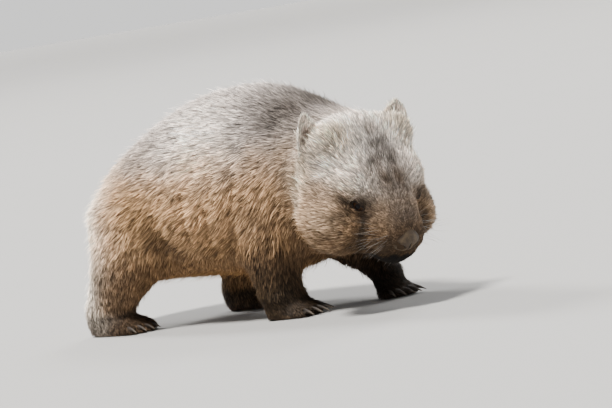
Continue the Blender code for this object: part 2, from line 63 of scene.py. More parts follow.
FLESH = ("trunk", "neck", "head", "nose_pad", "tail", "right_hind_leg", "left_hind_leg", "right_foreleg",
         "left_foreleg", "right_hind_foot", "left_hind_foot", "right_forefoot", "left_forefoot")
EARS = ("left_ear", "right_ear")
SIDES = {"left": 1.0, "right": -1.0}

CELL_MIX = (127.1, 311.7, 74.7)
SEED_STEP = 19.19
SINE_GAIN = 43758.5453
CLOUD_PARTS = 16
CM2_PER_M2 = 1e4


class Mark(Enum):
    """What a mesh carries at each corner for its finish to read."""

    COAT_COLOUR = "coat_colour"
    ALONG = "along"
    STRAND = "strand"
    HOLLOW = "painted_hollow_shade"
    WAY = "way"


def unit(vectors: Array) -> Array:
    """Vectors divided by their own length."""
    return vectors / np.maximum(np.linalg.norm(vectors, axis=-1, keepdims=True), 1e-12)


def round_turns(number: int) -> Array:
    """Angles spread evenly round a full turn."""
    return np.linspace(0.0, 2.0 * math.pi, number, endpoint=False)


def ramp(low: float, high: float, value: Array) -> Array:
    """0 below low, 1 above high, and 3t^2 - 2t^3 between them."""
    t = np.clip((value - low) / (high - low), 0.0, 1.0)
    return t * t * (3.0 - 2.0 * t)


def cell_number(cells: Array, seed: float) -> Array:
    """A repeatable number from 0 to 1 for each whole-number cell.

    It is what is left after the point of a large sine of the cell's place.

    Args:
        cells: Whole-number cells, one row each.
        seed: Picks another set of numbers.

    Returns:
        One number for each cell.
    """
    large = np.sin(cells @ np.array(CELL_MIX) + seed * SEED_STEP) * SINE_GAIN
    return large - np.floor(large)


def grain(points: Array, size: float, seed: float) -> Array:
    """Smooth noise from -1 to 1: the numbers of a cell's eight corners, blended by 3t^2 - 2t^3.

    Args:
        points: Places, one row each.
        size: Edge of a cell.
        seed: Picks another pattern.

    Returns:
        One value for each point.
    """
    place = points / size
    base = np.floor(place)
    t = place - base
    t = t * t * (3.0 - 2.0 * t)
    total = np.zeros(len(points))
    for corner in itertools.product((0, 1), repeat=3):
        share = np.prod(np.where(np.array(corner), t, 1.0 - t), axis=-1)
        total += share * cell_number(base + np.array(corner), seed)
    return 2.0 * total - 1.0


def grain_ways(points: Array, size: float, seed: float) -> Array:
    """Three patterns of smooth noise, one to an axis, with seeds that follow each other."""
    return np.stack([grain(points, size, seed + step) for step in range(3)], axis=1)


def gap_to_path(points: Array, path: Array) -> Array:
    """Distance from each point to the nearest stretch of a broken line."""
    nearest = np.full(len(points), np.inf)
    for start, end in zip(path, path[1:]):
        along = np.clip((points - start) @ (end - start) / ((end - start) @ (end - start)), 0.0, 1.0)
        nearest = np.minimum(nearest, np.linalg.norm(points - start - along[:, None] * (end - start), axis=1))
    return nearest


def gap_to_cloud(points: Array, cloud: Array, reach: float) -> Array:
    """Distance from each point to the nearest of a cloud of points, or reach where it is further off.

    Args:
        points: Places, one row each.
        cloud: The points to measure to.
        reach: The furthest distance that matters.

    Returns:
        One distance for each point.
    """
    gaps = np.full(len(points), reach)
    near = np.all((points > cloud.min(0) - reach) & (points < cloud.max(0) + reach), axis=1)
    for part in np.array_split(np.flatnonzero(near), CLOUD_PARTS):
        if len(part):
            apart = np.linalg.norm(points[part, None, :] - cloud[None, :, :], axis=2)
            gaps[part] = np.minimum(apart.min(axis=1), reach)
    return gaps


@dataclass(frozen=True)
class HeadAxes:
    """The head's own axes: forward along the face, aside to its left, and up through the crown."""

    centre: Triple = (0.23368, -0.04923, 0.1770)
    yaw_deg: float = -13.3
    pitch_deg: float = 34.4
    roll_deg: float = -0.7

    def rows(self) -> Array:
        """Forward, aside and up, one row each."""
        yaw, pitch, roll = (math.radians(angle) for angle in (self.yaw_deg, self.pitch_deg, self.roll_deg))
        forward = np.array((math.cos(yaw) * math.cos(pitch), math.sin(yaw) * math.cos(pitch),
                            -math.sin(pitch)))
        level = np.array((-math.sin(yaw), math.cos(yaw), 0.0))
        above = np.cross(forward, level)
        aside = level * math.cos(roll) + above * math.sin(roll)
        up = above * math.cos(roll) - level * math.sin(roll)
        return np.array((forward, aside, up))

    def into(self, points: Array) -> Array:
        """Places in the frame, read along the head's axes."""
        return (points - np.array(self.centre)) @ self.rows().T

    def out(self, places: Array) -> Array:
        """Places along the head's axes, brought into the frame."""
        return np.asarray(places) @ self.rows() + np.array(self.centre)

    def turn(self, directions: Array) -> Array:
        """Directions along the head's axes, turned into the frame."""
        return np.asarray(directions) @ self.rows()


HEAD = HeadAxes()


def node_points(names: tuple[str, ...]) -> Array:
    """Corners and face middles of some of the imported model's nodes."""
    clouds = []
    for name in names:
        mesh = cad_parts[name].data
        corners = np.empty(len(mesh.vertices) * 3)
        mesh.vertices.foreach_get("co", corners)
        middles = np.empty(len(mesh.polygons) * 3)
        mesh.polygons.foreach_get("center", middles)
        clouds += [corners.reshape(-1, 3), middles.reshape(-1, 3)]
    return np.concatenate(clouds)


def mesh_of(name: str, points: Array, faces: Array) -> bpy.types.Mesh:
    """A smooth-shaded mesh from whole arrays.

    Args:
        name: Name of the mesh.
        points: Corners, one row each.
        faces: Corner numbers, one row to a face.

    Returns:
        The mesh.
    """
    mesh = bpy.data.meshes.new(name)
    mesh.vertices.add(len(points))
    mesh.vertices.foreach_set("co", np.ascontiguousarray(points, np.float32).ravel())
    mesh.loops.add(faces.size)
    mesh.loops.foreach_set("vertex_index", np.ascontiguousarray(faces, np.int32).ravel())
    mesh.polygons.add(len(faces))
    mesh.polygons.foreach_set("loop_start", np.arange(0, faces.size, faces.shape[1], dtype=np.int32))
    mesh.update(calc_edges=True)
    mesh.polygons.foreach_set("use_smooth", np.ones(len(faces), dtype=bool))
    return mesh


def mark(mesh: bpy.types.Mesh, what: Mark, values: Array) -> None:
    """Give each corner of a mesh a number for its finish to read."""
    mesh.attributes.new(what.value, "FLOAT", "POINT").data.foreach_set("value", values.astype(np.float32))


def paint(mesh: bpy.types.Mesh, colours: Array) -> None:
    """Give each corner of a mesh the coat's colour there."""
    rgba = np.ones((len(colours), 4), dtype=np.float32)
    rgba[:, :3] = colours
    attribute = mesh.attributes.new(Mark.COAT_COLOUR.value, "FLOAT_COLOR", "POINT")
    attribute.data.foreach_set("color", rgba.ravel())


def grid_faces(rows: int, columns: int) -> Array:
    """Corner numbers of the squares of a grid whose last column meets its first."""
    row, column = np.meshgrid(np.arange(rows - 1), np.arange(columns), indexing="ij")
    after = (column + 1) % columns
    start = row * columns
    corners = (start + column, start + after, start + columns + after, start + columns + column)
    return np.stack(corners, axis=-1).reshape(-1, 4)


def capped(faces: Array, rows: int, columns: int) -> Array:
    """Add fans that close a tube's first and last rings on two poles, numbered after the grid's points."""
    column = np.arange(columns)
    after = (column + 1) % columns
    last = (rows - 1) * columns
    first_pole = np.full_like(column, rows * columns)
    start = np.stack([column, column, after, first_pole], axis=1)
    end = np.stack([last + after, last + after, last + column, first_pole + 1], axis=1)
    return np.concatenate([faces, start, end])


def closed(mesh: bpy.types.Mesh, weld: float = 1e-7, sliver: float = 1e-8) -> None:
    """Merge a closed mesh's doubled corners and turn its faces outwards."""
    shape = bmesh.new()
    shape.from_mesh(mesh)
    bmesh.ops.remove_doubles(shape, verts=shape.verts, dist=weld)
    bmesh.ops.dissolve_degenerate(shape, dist=sliver, edges=shape.edges)
    bmesh.ops.recalc_face_normals(shape, faces=shape.faces)
    shape.to_mesh(mesh)
    shape.free()
    mesh.shade_smooth()


def linked(name: str, data: bpy.types.ID) -> bpy.types.Object:
    """An object in the scene that shows some data."""
    made = bpy.data.objects.new(name, data)
    bpy.context.scene.collection.objects.link(made)
    return made


def put(name: str, mesh: bpy.types.Mesh, material: bpy.types.Material,
        replaced: tuple[str, ...] = ()) -> bpy.types.Object:
    """Show a mesh as a piece that rides on the model's one body.

    Args:
        name: Name of the piece.
        mesh: Its mesh, in the frame.
        material: Its finish.
        replaced: The nodes that it stands for.

    Returns:
        The piece.
    """
    piece = linked(name, mesh)
    mesh.materials.append(material)
    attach(piece, ROOT)
    if replaced:
        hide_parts(*replaced)
    return piece


class Zone(Enum):
    """The parts of the body whose coats differ."""

    TRUNK = "trunk"
    RUFF = "ruff"
    CROWN = "crown"
    FACE = "face"
    MUZZLE = "muzzle"
    EAR = "ear"
    LEG = "leg"
    FOOT = "foot"


@dataclass(frozen=True)
class Growth:
    """How the coat grows in one zone: its depth, a tuft's length and width, and how many tufts to a cm^2."""

    depth: float
    length: float
    width: float
    number: float


GROWTHS = {
    Zone.TRUNK: Growth(0.0080, 0.0160, 0.00135, 34.0),
    Zone.RUFF: Growth(0.0078, 0.0165, 0.00130, 34.0),
    Zone.CROWN: Growth(0.0062, 0.0120, 0.00115, 46.0),
    Zone.FACE: Growth(0.0040, 0.0078, 0.00095, 62.0),
    Zone.MUZZLE: Growth(0.0020, 0.0042, 0.00075, 85.0),
    Zone.EAR: Growth(0.0016, 0.0066, 0.00075, 90.0),
    Zone.LEG: Growth(0.0058, 0.0125, 0.00125, 34.0),
    Zone.FOOT: Growth(0.0028, 0.0072, 0.00105, 50.0),
}


@dataclass(frozen=True)
class Ear:
    """One ear: a pointed leaf that curls round its own height, open to the front, as a thin closed shell.

    At a height h up the leaf the middle of the shell is an arc of radius w(h) / sin(curl), with
    w(h) = half width * (1 - h^2)^taper. Its section is a lens: round it, the place across is the cosine of
    a turn and the thickness the turn's sine, squared off a little. Rows crowd together towards the tip.
    """

    side: float
    foot: Triple
    tip: Triple
    facing: Triple
    half_width: float
    curl_deg: float
    taper: float = 0.55
    below: float = -0.30
    rows: int = 44
    turns: int = 56
    crowding: float = 1.5
    thickness: float = 0.0021
    foot_thickness: float = 1.25
    thinning: float = 0.55
    squareness: float = 0.7
    crumple: float = 0.0007
    crumple_waves: Span = (9.0, 3.0)
    border: Span = (-0.0004, 0.0008)
    least_width: float = 0.004

    def axes(self) -> Array:
        """Rows: up the leaf, across it and the way that it faces, before the mirroring."""
        rise = unit(np.array(self.tip) - np.array(self.foot))
        facing = np.array(self.facing)
        facing = unit(facing - rise * (facing @ rise))
        return np.array((rise, np.cross(rise, facing), facing))

    def width(self, height: Array) -> Array:
        """Half width at a height up the leaf; below its foot it stays as wide as there."""
        return self.half_width * np.maximum(1.0 - np.clip(height, 0.0, 1.0) ** 2, 1e-4) ** self.taper

    def height(self) -> float:
        """From foot to tip."""
        return float(np.linalg.norm(np.array(self.tip) - np.array(self.foot)))

    def ends(self) -> tuple[Array, Array]:
        """Squares across the lens at the leaf's lower end and at its tip."""
        ring = np.arange(self.turns)
        half = self.turns // 2
        low = np.stack([ring[:half], ring[::-1][:half], ring[::-1][1: half + 1], ring[1: half + 1]], axis=1)
        return low[:-1, ::-1], low[:-1] + (self.rows - 1) * self.turns

    def build(self) -> tuple[Array, Array]:
        """The shell's points in the frame and its squares, closed at both ends."""
        way = np.linspace(self.below, 1.0, self.rows)[:, None]
        way = np.where(way > 0.0, 1.0 - (1.0 - np.maximum(way, 0.0)) ** self.crowding, way)
        above = np.clip(way, 0.0, 1.0)
        turn = round_turns(self.turns)[None, :]
        width = self.width(way)
        curl = math.radians(self.curl_deg)
        radius = width / math.sin(curl)
        arc = curl * np.cos(turn)
        thick = self.thickness * (self.foot_thickness - self.thinning * above)
        thick = thick * np.sqrt(width / self.half_width)
        thick = thick * np.sign(np.sin(turn)) * np.abs(np.sin(turn)) ** self.squareness
        up_waves, round_waves = self.crumple_waves
        crumple = self.crumple * np.sin(up_waves * way + round_waves * np.cos(turn)) * above
        across = (radius - thick) * np.sin(arc)
        front = radius - (radius - thick) * np.cos(arc) + crumple
        rise, aside, facing = self.axes()
        place = way[..., None] * self.height() * rise + across[..., None] * aside + front[..., None] * facing
        place = place.reshape(-1, 3) + np.array(self.foot)
        faces = np.concatenate([grid_faces(self.rows, self.turns), *self.ends()])
        return HEAD.out(place * self.mirror()), faces if self.side < 0.0 else faces[:, ::-1]

    def mirror(self) -> Array:
        """Factors that carry the leaf over to its own side of the head."""
        return np.array((1.0, self.side, 1.0))

    def read(self, points: Array) -> Array:
        """Places in the frame, read up the leaf, across it and the way that it faces."""
        return (HEAD.into(points) * self.mirror() - np.array(self.foot)) @ self.axes().T

    def inside(self, points: Array) -> Array:
        """1 on the leaf's open, front face and 0 on its back, by the distance from the arcs' middles."""
        rise, across, front = self.read(points).T
        radius = self.width(rise / self.height()) / math.sin(math.radians(self.curl_deg))
        return ramp(*self.border, radius - np.hypot(across, front - radius))

    def to_rim(self, points: Array) -> Array:
        """0 low in the leaf's middle, 1 at its rim and tip: (across / width)^2 + height^2."""
        rise, across, _ = self.read(points).T
        height = rise / self.height()
        aside = across / np.maximum(self.width(height), self.least_width)
        return aside**2 + np.clip(height, 0.0, 1.0) ** 2


LEAVES = {
    "left": Ear(side=1.0, foot=(-0.0400, 0.0600, 0.0450), tip=(-0.0680, 0.0930, 0.0800),
                facing=(1.00, -0.40, 0.15), half_width=0.0250, curl_deg=46.0),
    "right": Ear(side=-1.0, foot=(-0.0540, 0.0810, 0.0440), tip=(-0.0650, 0.0945, 0.0895),
                 facing=(1.00, 0.12, 0.10), half_width=0.0175, curl_deg=62.0),
}


def ear_cloud(step: int = 4) -> Array:
    """Every fourth point of both ears."""
    return np.concatenate([ear.build()[0][::step] for ear in LEAVES.values()])


@dataclass
class BodyPlan:
    """Says which zone each point of the body belongs to, with soft borders between zones.

    A border is the pair of distances between which one zone passes into the next.
    """

    ear_points: Array = field(default_factory=ear_cloud)
    ear_reach: float = 0.009
    ear_border: Span = (0.0022, 0.0050)
    head_middle: Triple = (0.01, 0.0, -0.01)
    head_radii: Triple = (0.12, 0.125, 0.115)
    head_border: Span = (1.0, 1.2)
    neck_border: Span = (-0.085, -0.035)
    muzzle_line: tuple[Triple, Triple] = ((0.105, 0.0, -0.045), (0.070, 0.0, -0.020))
    muzzle_border: Span = (0.030, 0.062)
    brow_border: Span = (0.015, 0.045)
    cheek_border: Span = (0.070, 0.105)
    foot_border: Span = (0.030, 0.052)
    leg_border: Span = (0.085, 0.135)
    belly_border: Span = (0.030, 0.055)
    ruff_border: Span = (0.095, 0.150)

    def in_ear(self, points: Array) -> Array:
        """1 on the open face of either ear."""
        left = HEAD.into(points)[:, 1] > 0.0
        return np.where(left, LEAVES["left"].inside(points), LEAVES["right"].inside(points))

    def ear_rim(self, points: Array) -> Array:
        """How near each point is to the rim of the ear on its own side."""
        left = HEAD.into(points)[:, 1] > 0.0
        return np.where(left, LEAVES["left"].to_rim(points), LEAVES["right"].to_rim(points))

    def on_head(self, points: Array) -> Array:
        """1 on the head and 0 off it, by an oval about the head's middle that is open at the neck."""
        place = HEAD.into(points)
        forward, aside, up = ((place - np.array(self.head_middle)) / np.array(self.head_radii)).T
        oval = np.sqrt(forward**2 + aside**2 + up**2)
        return (1.0 - ramp(*self.head_border, oval)) * ramp(*self.neck_border, place[:, 0])

    def shares(self, points: Array) -> dict[Zone, Array]:
        """Each zone's share of every point.

        Args:
            points: Places on the body, one row each.

        Returns:
            Shares from 0 to 1 by zone, which add up to 1 at every point.
        """
        x, y, z = points.T
        place = HEAD.into(points)
        forward, aside = place[:, 0], np.abs(place[:, 1])
        head = self.on_head(points)
        ear = 1.0 - ramp(*self.ear_border, gap_to_cloud(points, self.ear_points, self.ear_reach))
        muzzle = head * (1.0 - ramp(*self.muzzle_border, gap_to_path(place, np.array(self.muzzle_line))))
        face = (head - muzzle) * ramp(*self.brow_border, forward) * (1.0 - ramp(*self.cheek_border, aside))
        crown = head - muzzle - face
        body = 1.0 - head
        foot = body * (1.0 - ramp(*self.foot_border, z))
        leg = (body - foot) * (1.0 - ramp(*self.leg_border, z)) * ramp(*self.belly_border, np.abs(y))
        ruff = (body - foot - leg) * ramp(*self.ruff_border, x)
        trunk = body - foot - leg - ruff
        rest = {Zone.TRUNK: trunk, Zone.RUFF: ruff, Zone.CROWN: crown, Zone.FACE: face, Zone.MUZZLE: muzzle,
                Zone.LEG: leg, Zone.FOOT: foot}
        shares = {zone: share * (1.0 - ear) for zone, share in rest.items()}
        shares[Zone.EAR] = ear
        return shares

    def blend(self, shares: dict[Zone, Array], what: str) -> Array:
        """One of the growth's sizes, mixed by the zones' shares."""
        return sum(share * getattr(GROWTHS[zone], what) for zone, share in shares.items())


@dataclass(frozen=True)
class Eye:
    """Where one eye is: its middle and outward direction on the head, and the half sizes of its opening.

    The closed lids would stand root(R^2 - flatness * r^2) out at a way r from the middle, with R a little
    over the eye's radius.
    """

    side: float
    middle: Triple = (0.0430, 0.0520, 0.0020)
    outward: Triple = (0.62, 0.77, 0.14)
    radius: float = 0.0095
    half_length: float = 0.0078
    half_height: float = 0.0041
    nose: Triple = (0.0990, 0.0, -0.0310)
    lid_gap: float = 0.0008
    lid_flatness: float = 0.70
    seat_reach: float = 0.020
    seat_behind: float = -0.012
    seat_border: Span = (0.0100, 0.0165)
    skin_under_lid: float = 0.0006
    skin_under_opening: float = 0.0034
    sunk_to: float = 1.15

    def centre(self) -> Array:
        """The eyeball's middle in the frame."""
        forward, aside, up = self.middle
        return HEAD.out((forward, self.side * aside, up))

    def axes(self) -> Array:
        """Rows: towards the inner corner by the nose, across the opening, and out of the head."""
        outward = unit(np.array((self.outward[0], self.side * self.outward[1], self.outward[2])))
        forward, aside, up = self.middle
        inner = np.array(self.nose) - np.array((forward, self.side * aside, up))
        inner = unit(inner - outward * (inner @ outward))
        across = np.cross(outward, inner)
        return HEAD.turn(np.array((inner, across, outward)))

    def into(self, points: Array) -> Array:
        """Places in the frame, read along the eye's axes."""
        return (points - self.centre()) @ self.axes().T

    def oval(self, inner: Array, across: Array) -> Array:
        """0 at the opening's middle and 1 at the lids' edge."""
        return np.sqrt((inner / self.half_length) ** 2 + (across / self.half_height) ** 2)

    def opening(self, points: Array) -> Array:
        """How far out each point lies over the opening, and without end behind the eye's middle."""
        inner, across, outward = self.into(points).T
        return np.where(outward > 0.0, self.oval(inner, across), np.inf)

    def lid_height(self, inner: Array, across: Array) -> Array:
        """How far out the closed lids would stand."""
        over = (self.radius + self.lid_gap) ** 2 - self.lid_flatness * (inner**2 + across**2)
        return np.sqrt(np.maximum(over, 0.0))

    def seat(self, points: Array) -> Array:
        """Raise the skin to the lids round the eye, and let it in under the opening.

        Args:
            points: The skin's points.

        Returns:
            The points moved along the eye's outward axis.
        """
        inner, across, outward = self.into(points).T
        reach = np.hypot(inner, across)
        near = (reach < self.seat_reach) & (outward > self.seat_behind)
        lid = self.lid_height(inner, across) - self.skin_under_lid
        share = 1.0 - ramp(*self.seat_border, reach)
        raised = outward + share * np.maximum(lid - outward, 0.0)
        sunk = np.minimum(raised, lid - self.skin_under_opening)
        raised = np.where(self.oval(inner, across) < self.sunk_to, sunk, raised)
        return points + np.where(near, raised - outward, 0.0)[:, None] * self.axes()[2]


EYES = {word: Eye(side) for word, side in SIDES.items()}


@dataclass(frozen=True)
class NosePad:
    """The bare pad: an oval dome with a groove down its middle and a comma-shaped nostril on each side.

    Over the pad, with a and r the turn and way out, the surface is the middle plus forward root(1 - r^2),
    aside r cos(a) and up r sin(a), each times its half size. The outline is squared off by the cosine of
    4a and brought down at top and bottom by the cosine of 2a. Nostrils and groove are let in along forward.
    """

    middle: Triple = (0.0980, 0.0, -0.0325)
    radii: Triple = (0.0124, 0.0245, 0.0165)
    rings: int = 56
    back_rings: int = 8
    turns: int = 128
    boxiness: float = 0.05
    sag: float = 0.0022
    back_share: float = -0.25
    nostril: Triple = (0.0, 0.0132, -0.0042)
    nostril_slant: float = 0.35
    nostril_half: Span = (0.0058, 0.0036)
    nostril_depth: float = 0.0110
    tail_middle: Span = (0.0066, 0.0030)
    tail_half: Span = (0.0034, 0.0024)
    tail_share: float = 0.8
    brim_rise: float = 0.0062
    brim_half: Span = (0.0085, 0.0030)
    brim_height: float = 0.0004
    groove_half: float = 0.0014
    groove_top: Span = (-0.004, 0.006)
    groove_depth: float = 0.0020
    groove_shade: float = 0.6
    edge_shade: float = 0.12
    edge_from: float = 0.75
    covered: float = 0.90

    def build(self) -> bpy.types.Mesh:
        """The pad's mesh, closed at the back."""
        front_way = np.linspace(0.02, 1.0, self.rings)
        way = np.concatenate([front_way, np.linspace(0.96, 0.02, self.back_rings)])
        back = np.arange(len(way)) >= self.rings
        way, turn = np.meshgrid(way, round_turns(self.turns), indexing="ij")
        boxy = 1.0 + self.boxiness * np.cos(4.0 * turn) * way**2
        aside = self.radii[1] * way * np.cos(turn) * boxy
        up = self.radii[2] * way * np.sin(turn) * boxy
        up -= self.sag * way * np.cos(2.0 * turn)
        forward = self.radii[0] * np.sqrt(np.maximum(1.0 - way**2, 0.0))
        forward[back] = self.back_share * self.radii[0]
        hole, brim = self.nostrils(aside, up)
        groove = np.exp(-((aside / self.groove_half) ** 2)) * (1.0 - ramp(*self.groove_top, up))
        hole = np.where(back[:, None], 0.0, hole)
        relief = self.brim_height * brim - self.groove_depth * groove
        forward = forward + np.where(back[:, None], 0.0, relief)
        forward = forward - self.nostril_depth * hole
        edge = self.edge_shade * ramp(self.edge_from, 1.0, way)
        # Painted shade: this darkens the nostrils, the groove and the rim of the pad.
        painted_hollow_shade = np.maximum(np.maximum(hole, self.groove_shade * groove), edge)
        place = np.stack([forward, aside, up], axis=-1).reshape(-1, 3) + np.array(self.middle)
        faces = grid_faces(len(way), self.turns)
        poles = np.array((place[: self.turns].mean(0), place[-self.turns:].mean(0)))
        points = np.concatenate([HEAD.out(place), HEAD.out(poles)])
        mesh = mesh_of("nose_pad_skin", points, capped(faces, len(way), self.turns))
        mark(mesh, Mark.HOLLOW, np.concatenate([painted_hollow_shade.ravel(), (0.0, 0.0)]))
        closed(mesh)
        return mesh

    def nostrils(self, aside: Array, up: Array) -> tuple[Array, Array]:
        """Both nostrils, as the share of their depth, and the brims over them, as the share of their height.

        Args:
            aside: Places across the pad.
            up: Places up the pad.

        Returns:
            The nostrils' share and the brims', each from 0 to 1.
        """
        far = np.abs(aside) - self.nostril[1]
        rise = up - self.nostril[2] - self.nostril_slant * far
        hole = np.exp(-((far / self.nostril_half[0]) ** 4) - (rise / self.nostril_half[1]) ** 4)
        tail = np.exp(-(((far - self.tail_middle[0]) / self.tail_half[0]) ** 2)
                      - ((rise - self.tail_middle[1]) / self.tail_half[1]) ** 2)
        brim = np.exp(-((far / self.brim_half[0]) ** 2) - ((rise - self.brim_rise) / self.brim_half[1]) ** 2)
        return np.maximum(hole, self.tail_share * tail), brim

    def covers(self, points: Array) -> Array:
        """True where the pad, and not fur, is the outside of the nose."""
        forward, aside, up = (HEAD.into(points) - np.array(self.middle)).T
        oval = (aside / (self.radii[1] * self.covered)) ** 2 + (up / (self.radii[2] * self.covered)) ** 2
        return (oval < 1.0) & (forward > -self.radii[0])


PAD = NosePad()


@dataclass(frozen=True)
class Crease:
    """A groove, or with a negative depth a ridge, along a broken line: depth times exp(-(gap / width)^2).

    Smooth noise varies the depth along it.
    """

    path: tuple[Triple, ...]
    depth: float
    width: float
    on_head: bool = False
    evenness: float = 0.80
    variety: float = 0.35
    grain_size: float = 0.028
    grain_seed: float = 9.0

    def sink(self, points: Array) -> Array:
        """How far each point goes in, counting the crease on both sides of the body."""
        place = HEAD.into(points) if self.on_head else points
        total = np.zeros(len(points))
        for side in SIDES.values():
            path = np.array(self.path) * np.array((1.0, side, 1.0))
            total = np.maximum(total, np.exp(-((gap_to_path(place, path) / self.width) ** 2)))
        varied = self.evenness + self.variety * grain(points, self.grain_size, self.grain_seed)
        return self.depth * total * varied


CREASES = (
    Crease(((-0.006, -0.112, 0.244), (-0.040, -0.122, 0.196), (-0.046, -0.110, 0.140)), 0.0092, 0.0090),
    Crease(((0.018, -0.112, 0.226), (0.000, -0.122, 0.180), (-0.014, -0.098, 0.124)), 0.0088, 0.0105),
    Crease(((0.054, -0.110, 0.236), (0.044, -0.115, 0.178), (0.026, -0.104, 0.118)), 0.0100, 0.0130),
    Crease(((-0.026, -0.116, 0.212), (-0.062, -0.122, 0.178), (-0.068, -0.108, 0.150)), 0.0056, 0.0085),
    Crease(((-0.070, -0.116, 0.225), (-0.095, -0.120, 0.180), (-0.106, -0.112, 0.130)), 0.0095, 0.0140),
    Crease(((-0.100, -0.112, 0.135), (-0.118, -0.085, 0.098)), 0.0130, 0.0200),
    Crease(((0.006, -0.115, 0.228), (-0.020, -0.124, 0.185), (-0.030, -0.104, 0.142)), -0.0046, 0.0100),
    Crease(((0.036, -0.112, 0.222), (0.022, -0.120, 0.182), (0.008, -0.108, 0.130)), -0.0044, 0.0110),
    Crease(((-0.034, -0.117, 0.160), (0.000, -0.118, 0.152)), -0.0026, 0.0120),
    Crease(((0.082, -0.108, 0.205), (0.085, -0.112, 0.150)), -0.0040, 0.0260),
    Crease(((-0.170, -0.116, 0.190), (-0.175, -0.118, 0.140)), -0.0035, 0.0300),
    Crease(((0.172, -0.128, 0.240), (0.168, -0.130, 0.185), (0.182, -0.132, 0.125)), 0.0085, 0.0110),
    Crease(((0.104, 0.000, -0.052), (0.100, 0.020, -0.050), (0.088, 0.036, -0.047), (0.068, 0.048, -0.050)),
           0.0038, 0.0040, True),
    Crease(((0.060, 0.048, -0.008), (0.066, 0.052, -0.022), (0.068, 0.056, -0.048)), 0.0060, 0.0110, True),
    Crease(((0.090, 0.030, -0.028), (0.090, 0.030, -0.040)), -0.0026, 0.0120, True),
    Crease(((0.060, 0.000, 0.026), (0.086, 0.000, 0.000)), -0.0016, 0.0200, True),
    Crease(((0.044, 0.040, 0.018), (0.036, 0.052, 0.020), (0.028, 0.064, 0.014)), -0.0034, 0.0070, True),
    Crease(((0.056, 0.036, 0.014), (0.030, 0.022, 0.044)), 0.0030, 0.0120, True),
    Crease(((0.034, 0.068, -0.010), (0.050, 0.062, -0.018), (0.060, 0.056, -0.020)), 0.0022, 0.0060, True),
    Crease(((0.048, 0.078, -0.024), (0.052, 0.084, -0.044)), -0.0030, 0.0150, True),
    Crease(((0.062, 0.044, -0.002), (0.078, 0.038, -0.010), (0.094, 0.030, -0.018)), 0.0022, 0.0075, True),
)


@dataclass
class Skin:
    """The whole flesh as one surface, sunk by the coat's depth and then creased."""

    plan: BodyPlan
    swell: float = 0.0004
    coarse: float = 0.0040
    fine: float = 0.0031
    body_smoothing: int = 12
    toe_smoothing: int = 2
    toe_radii: Triple = (0.0120, 0.0062, 0.0085)
    toe_inset: float = 0.002
    toe_back: Triple = (0.004, 0.0, 0.0)
    weld: float = 0.00001
    floor_gap: float = 0.0012
    points: Array = field(init=False)
    quads: Array = field(init=False)
    normals: Array = field(init=False)

    def toes(self) -> bmesh.types.BMesh:
        """A ball behind each claw, so that the toes read apart."""
        shape = bmesh.new()
        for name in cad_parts:
            if "_claw_" not in name:
                continue
            low, high = (np.array(corner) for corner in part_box(name))
            root = np.array((low[0] + self.toe_inset, (low[1] + high[1]) / 2.0, self.toe_radii[2]))
            place = Matrix.LocRotScale(Vector(root - self.toe_back), None, Vector(self.toe_radii))
            bmesh.ops.create_uvsphere(shape, u_segments=16, v_segments=10, radius=1.0, matrix=place)
        return shape

    def fused(self, shape: bmesh.types.BMesh, swell: float, voxel: float, smoothing: int) -> bpy.types.Mesh:
        """Fuse closed shapes into one surface.

        Args:
            shape: The shapes together.
            swell: How far they grow first, so that the thin cuts between them close.
            voxel: Size of the fusing grid.
            smoothing: Rounds of smoothing afterwards.

        Returns:
            The fused mesh.
        """
        mesh = bpy.data.meshes.new("fusing")
        shape.to_mesh(mesh)
        shape.free()
        body = linked("fusing", mesh)
        grow = body.modifiers.new("grow", "DISPLACE")
        grow.mid_level, grow.strength = 0.0, swell
        fuse = body.modifiers.new("fuse", "REMESH")
        fuse.mode, fuse.voxel_size = "VOXEL", voxel
        smooth = body.modifiers.new("smooth", "SMOOTH")
        smooth.factor, smooth.iterations = 0.5, smoothing
        bpy.context.view_layer.update()
        made = bpy.data.meshes.new_from_object(body.evaluated_get(bpy.context.evaluated_depsgraph_get()))
        bpy.data.objects.remove(body, do_unlink=True)
        return made

    def gather(self) -> bmesh.types.BMesh:
        """Copies of all the nodes of flesh together, with doubled corners merged."""
        shape = bmesh.new()
        for name in FLESH:
            shape.from_mesh(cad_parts[name].data)
        bmesh.ops.remove_doubles(shape, verts=shape.verts, dist=self.weld)
        return shape

    def build(self) -> None:
        """Fuse, smooth, sink and crease the skin, seat the eyes and add the ears."""
        body = self.fused(self.gather(), self.swell, self.coarse, self.body_smoothing)
        shape = self.toes()
        shape.from_mesh(body)
        whole = self.fused(shape, 0.0, self.fine, self.toe_smoothing)
        self.points = np.empty(len(whole.vertices) * 3)
        whole.vertices.foreach_get("co", self.points)
        self.points = self.points.reshape(-1, 3)
        self.quads = np.empty(len(whole.loops), dtype=np.int32)
        whole.loops.foreach_get("vertex_index", self.quads)
        self.quads = self.quads.reshape(-1, 4)
        self.sink(self.plan.blend(self.plan.shares(self.points), "depth"))
        self.sink(sum(crease.sink(self.points) for crease in CREASES))
        self.points[:, 2] = np.maximum(self.points[:, 2], self.floor_gap)
        for eye in EYES.values():
            self.points = eye.seat(self.points)
        for ear in LEAVES.values():
            points, quads = ear.build()
            self.quads = np.concatenate([self.quads, quads + len(self.points)])
            self.points = np.concatenate([self.points, points])
        self.find_normals()

    def find_normals(self) -> None:
        """Corner normals: the sum of the crossed diagonals of the squares round each corner."""
        corners = self.points[self.quads]
        crossed = np.cross(corners[:, 2] - corners[:, 0], corners[:, 3] - corners[:, 1])
        total = np.zeros_like(self.points)
        for column in range(4):
            np.add.at(total, self.quads[:, column], crossed)
        self.normals = unit(total)

    def sink(self, depth: Array) -> None:
        """Move every point in along its normal."""
        self.find_normals()
        self.points = self.points - self.normals * depth[:, None]

    def triangles(self) -> Array:
        """The squares, each as two triangles."""
        return np.concatenate([self.quads[:, [0, 1, 2]], self.quads[:, [0, 2, 3]]])


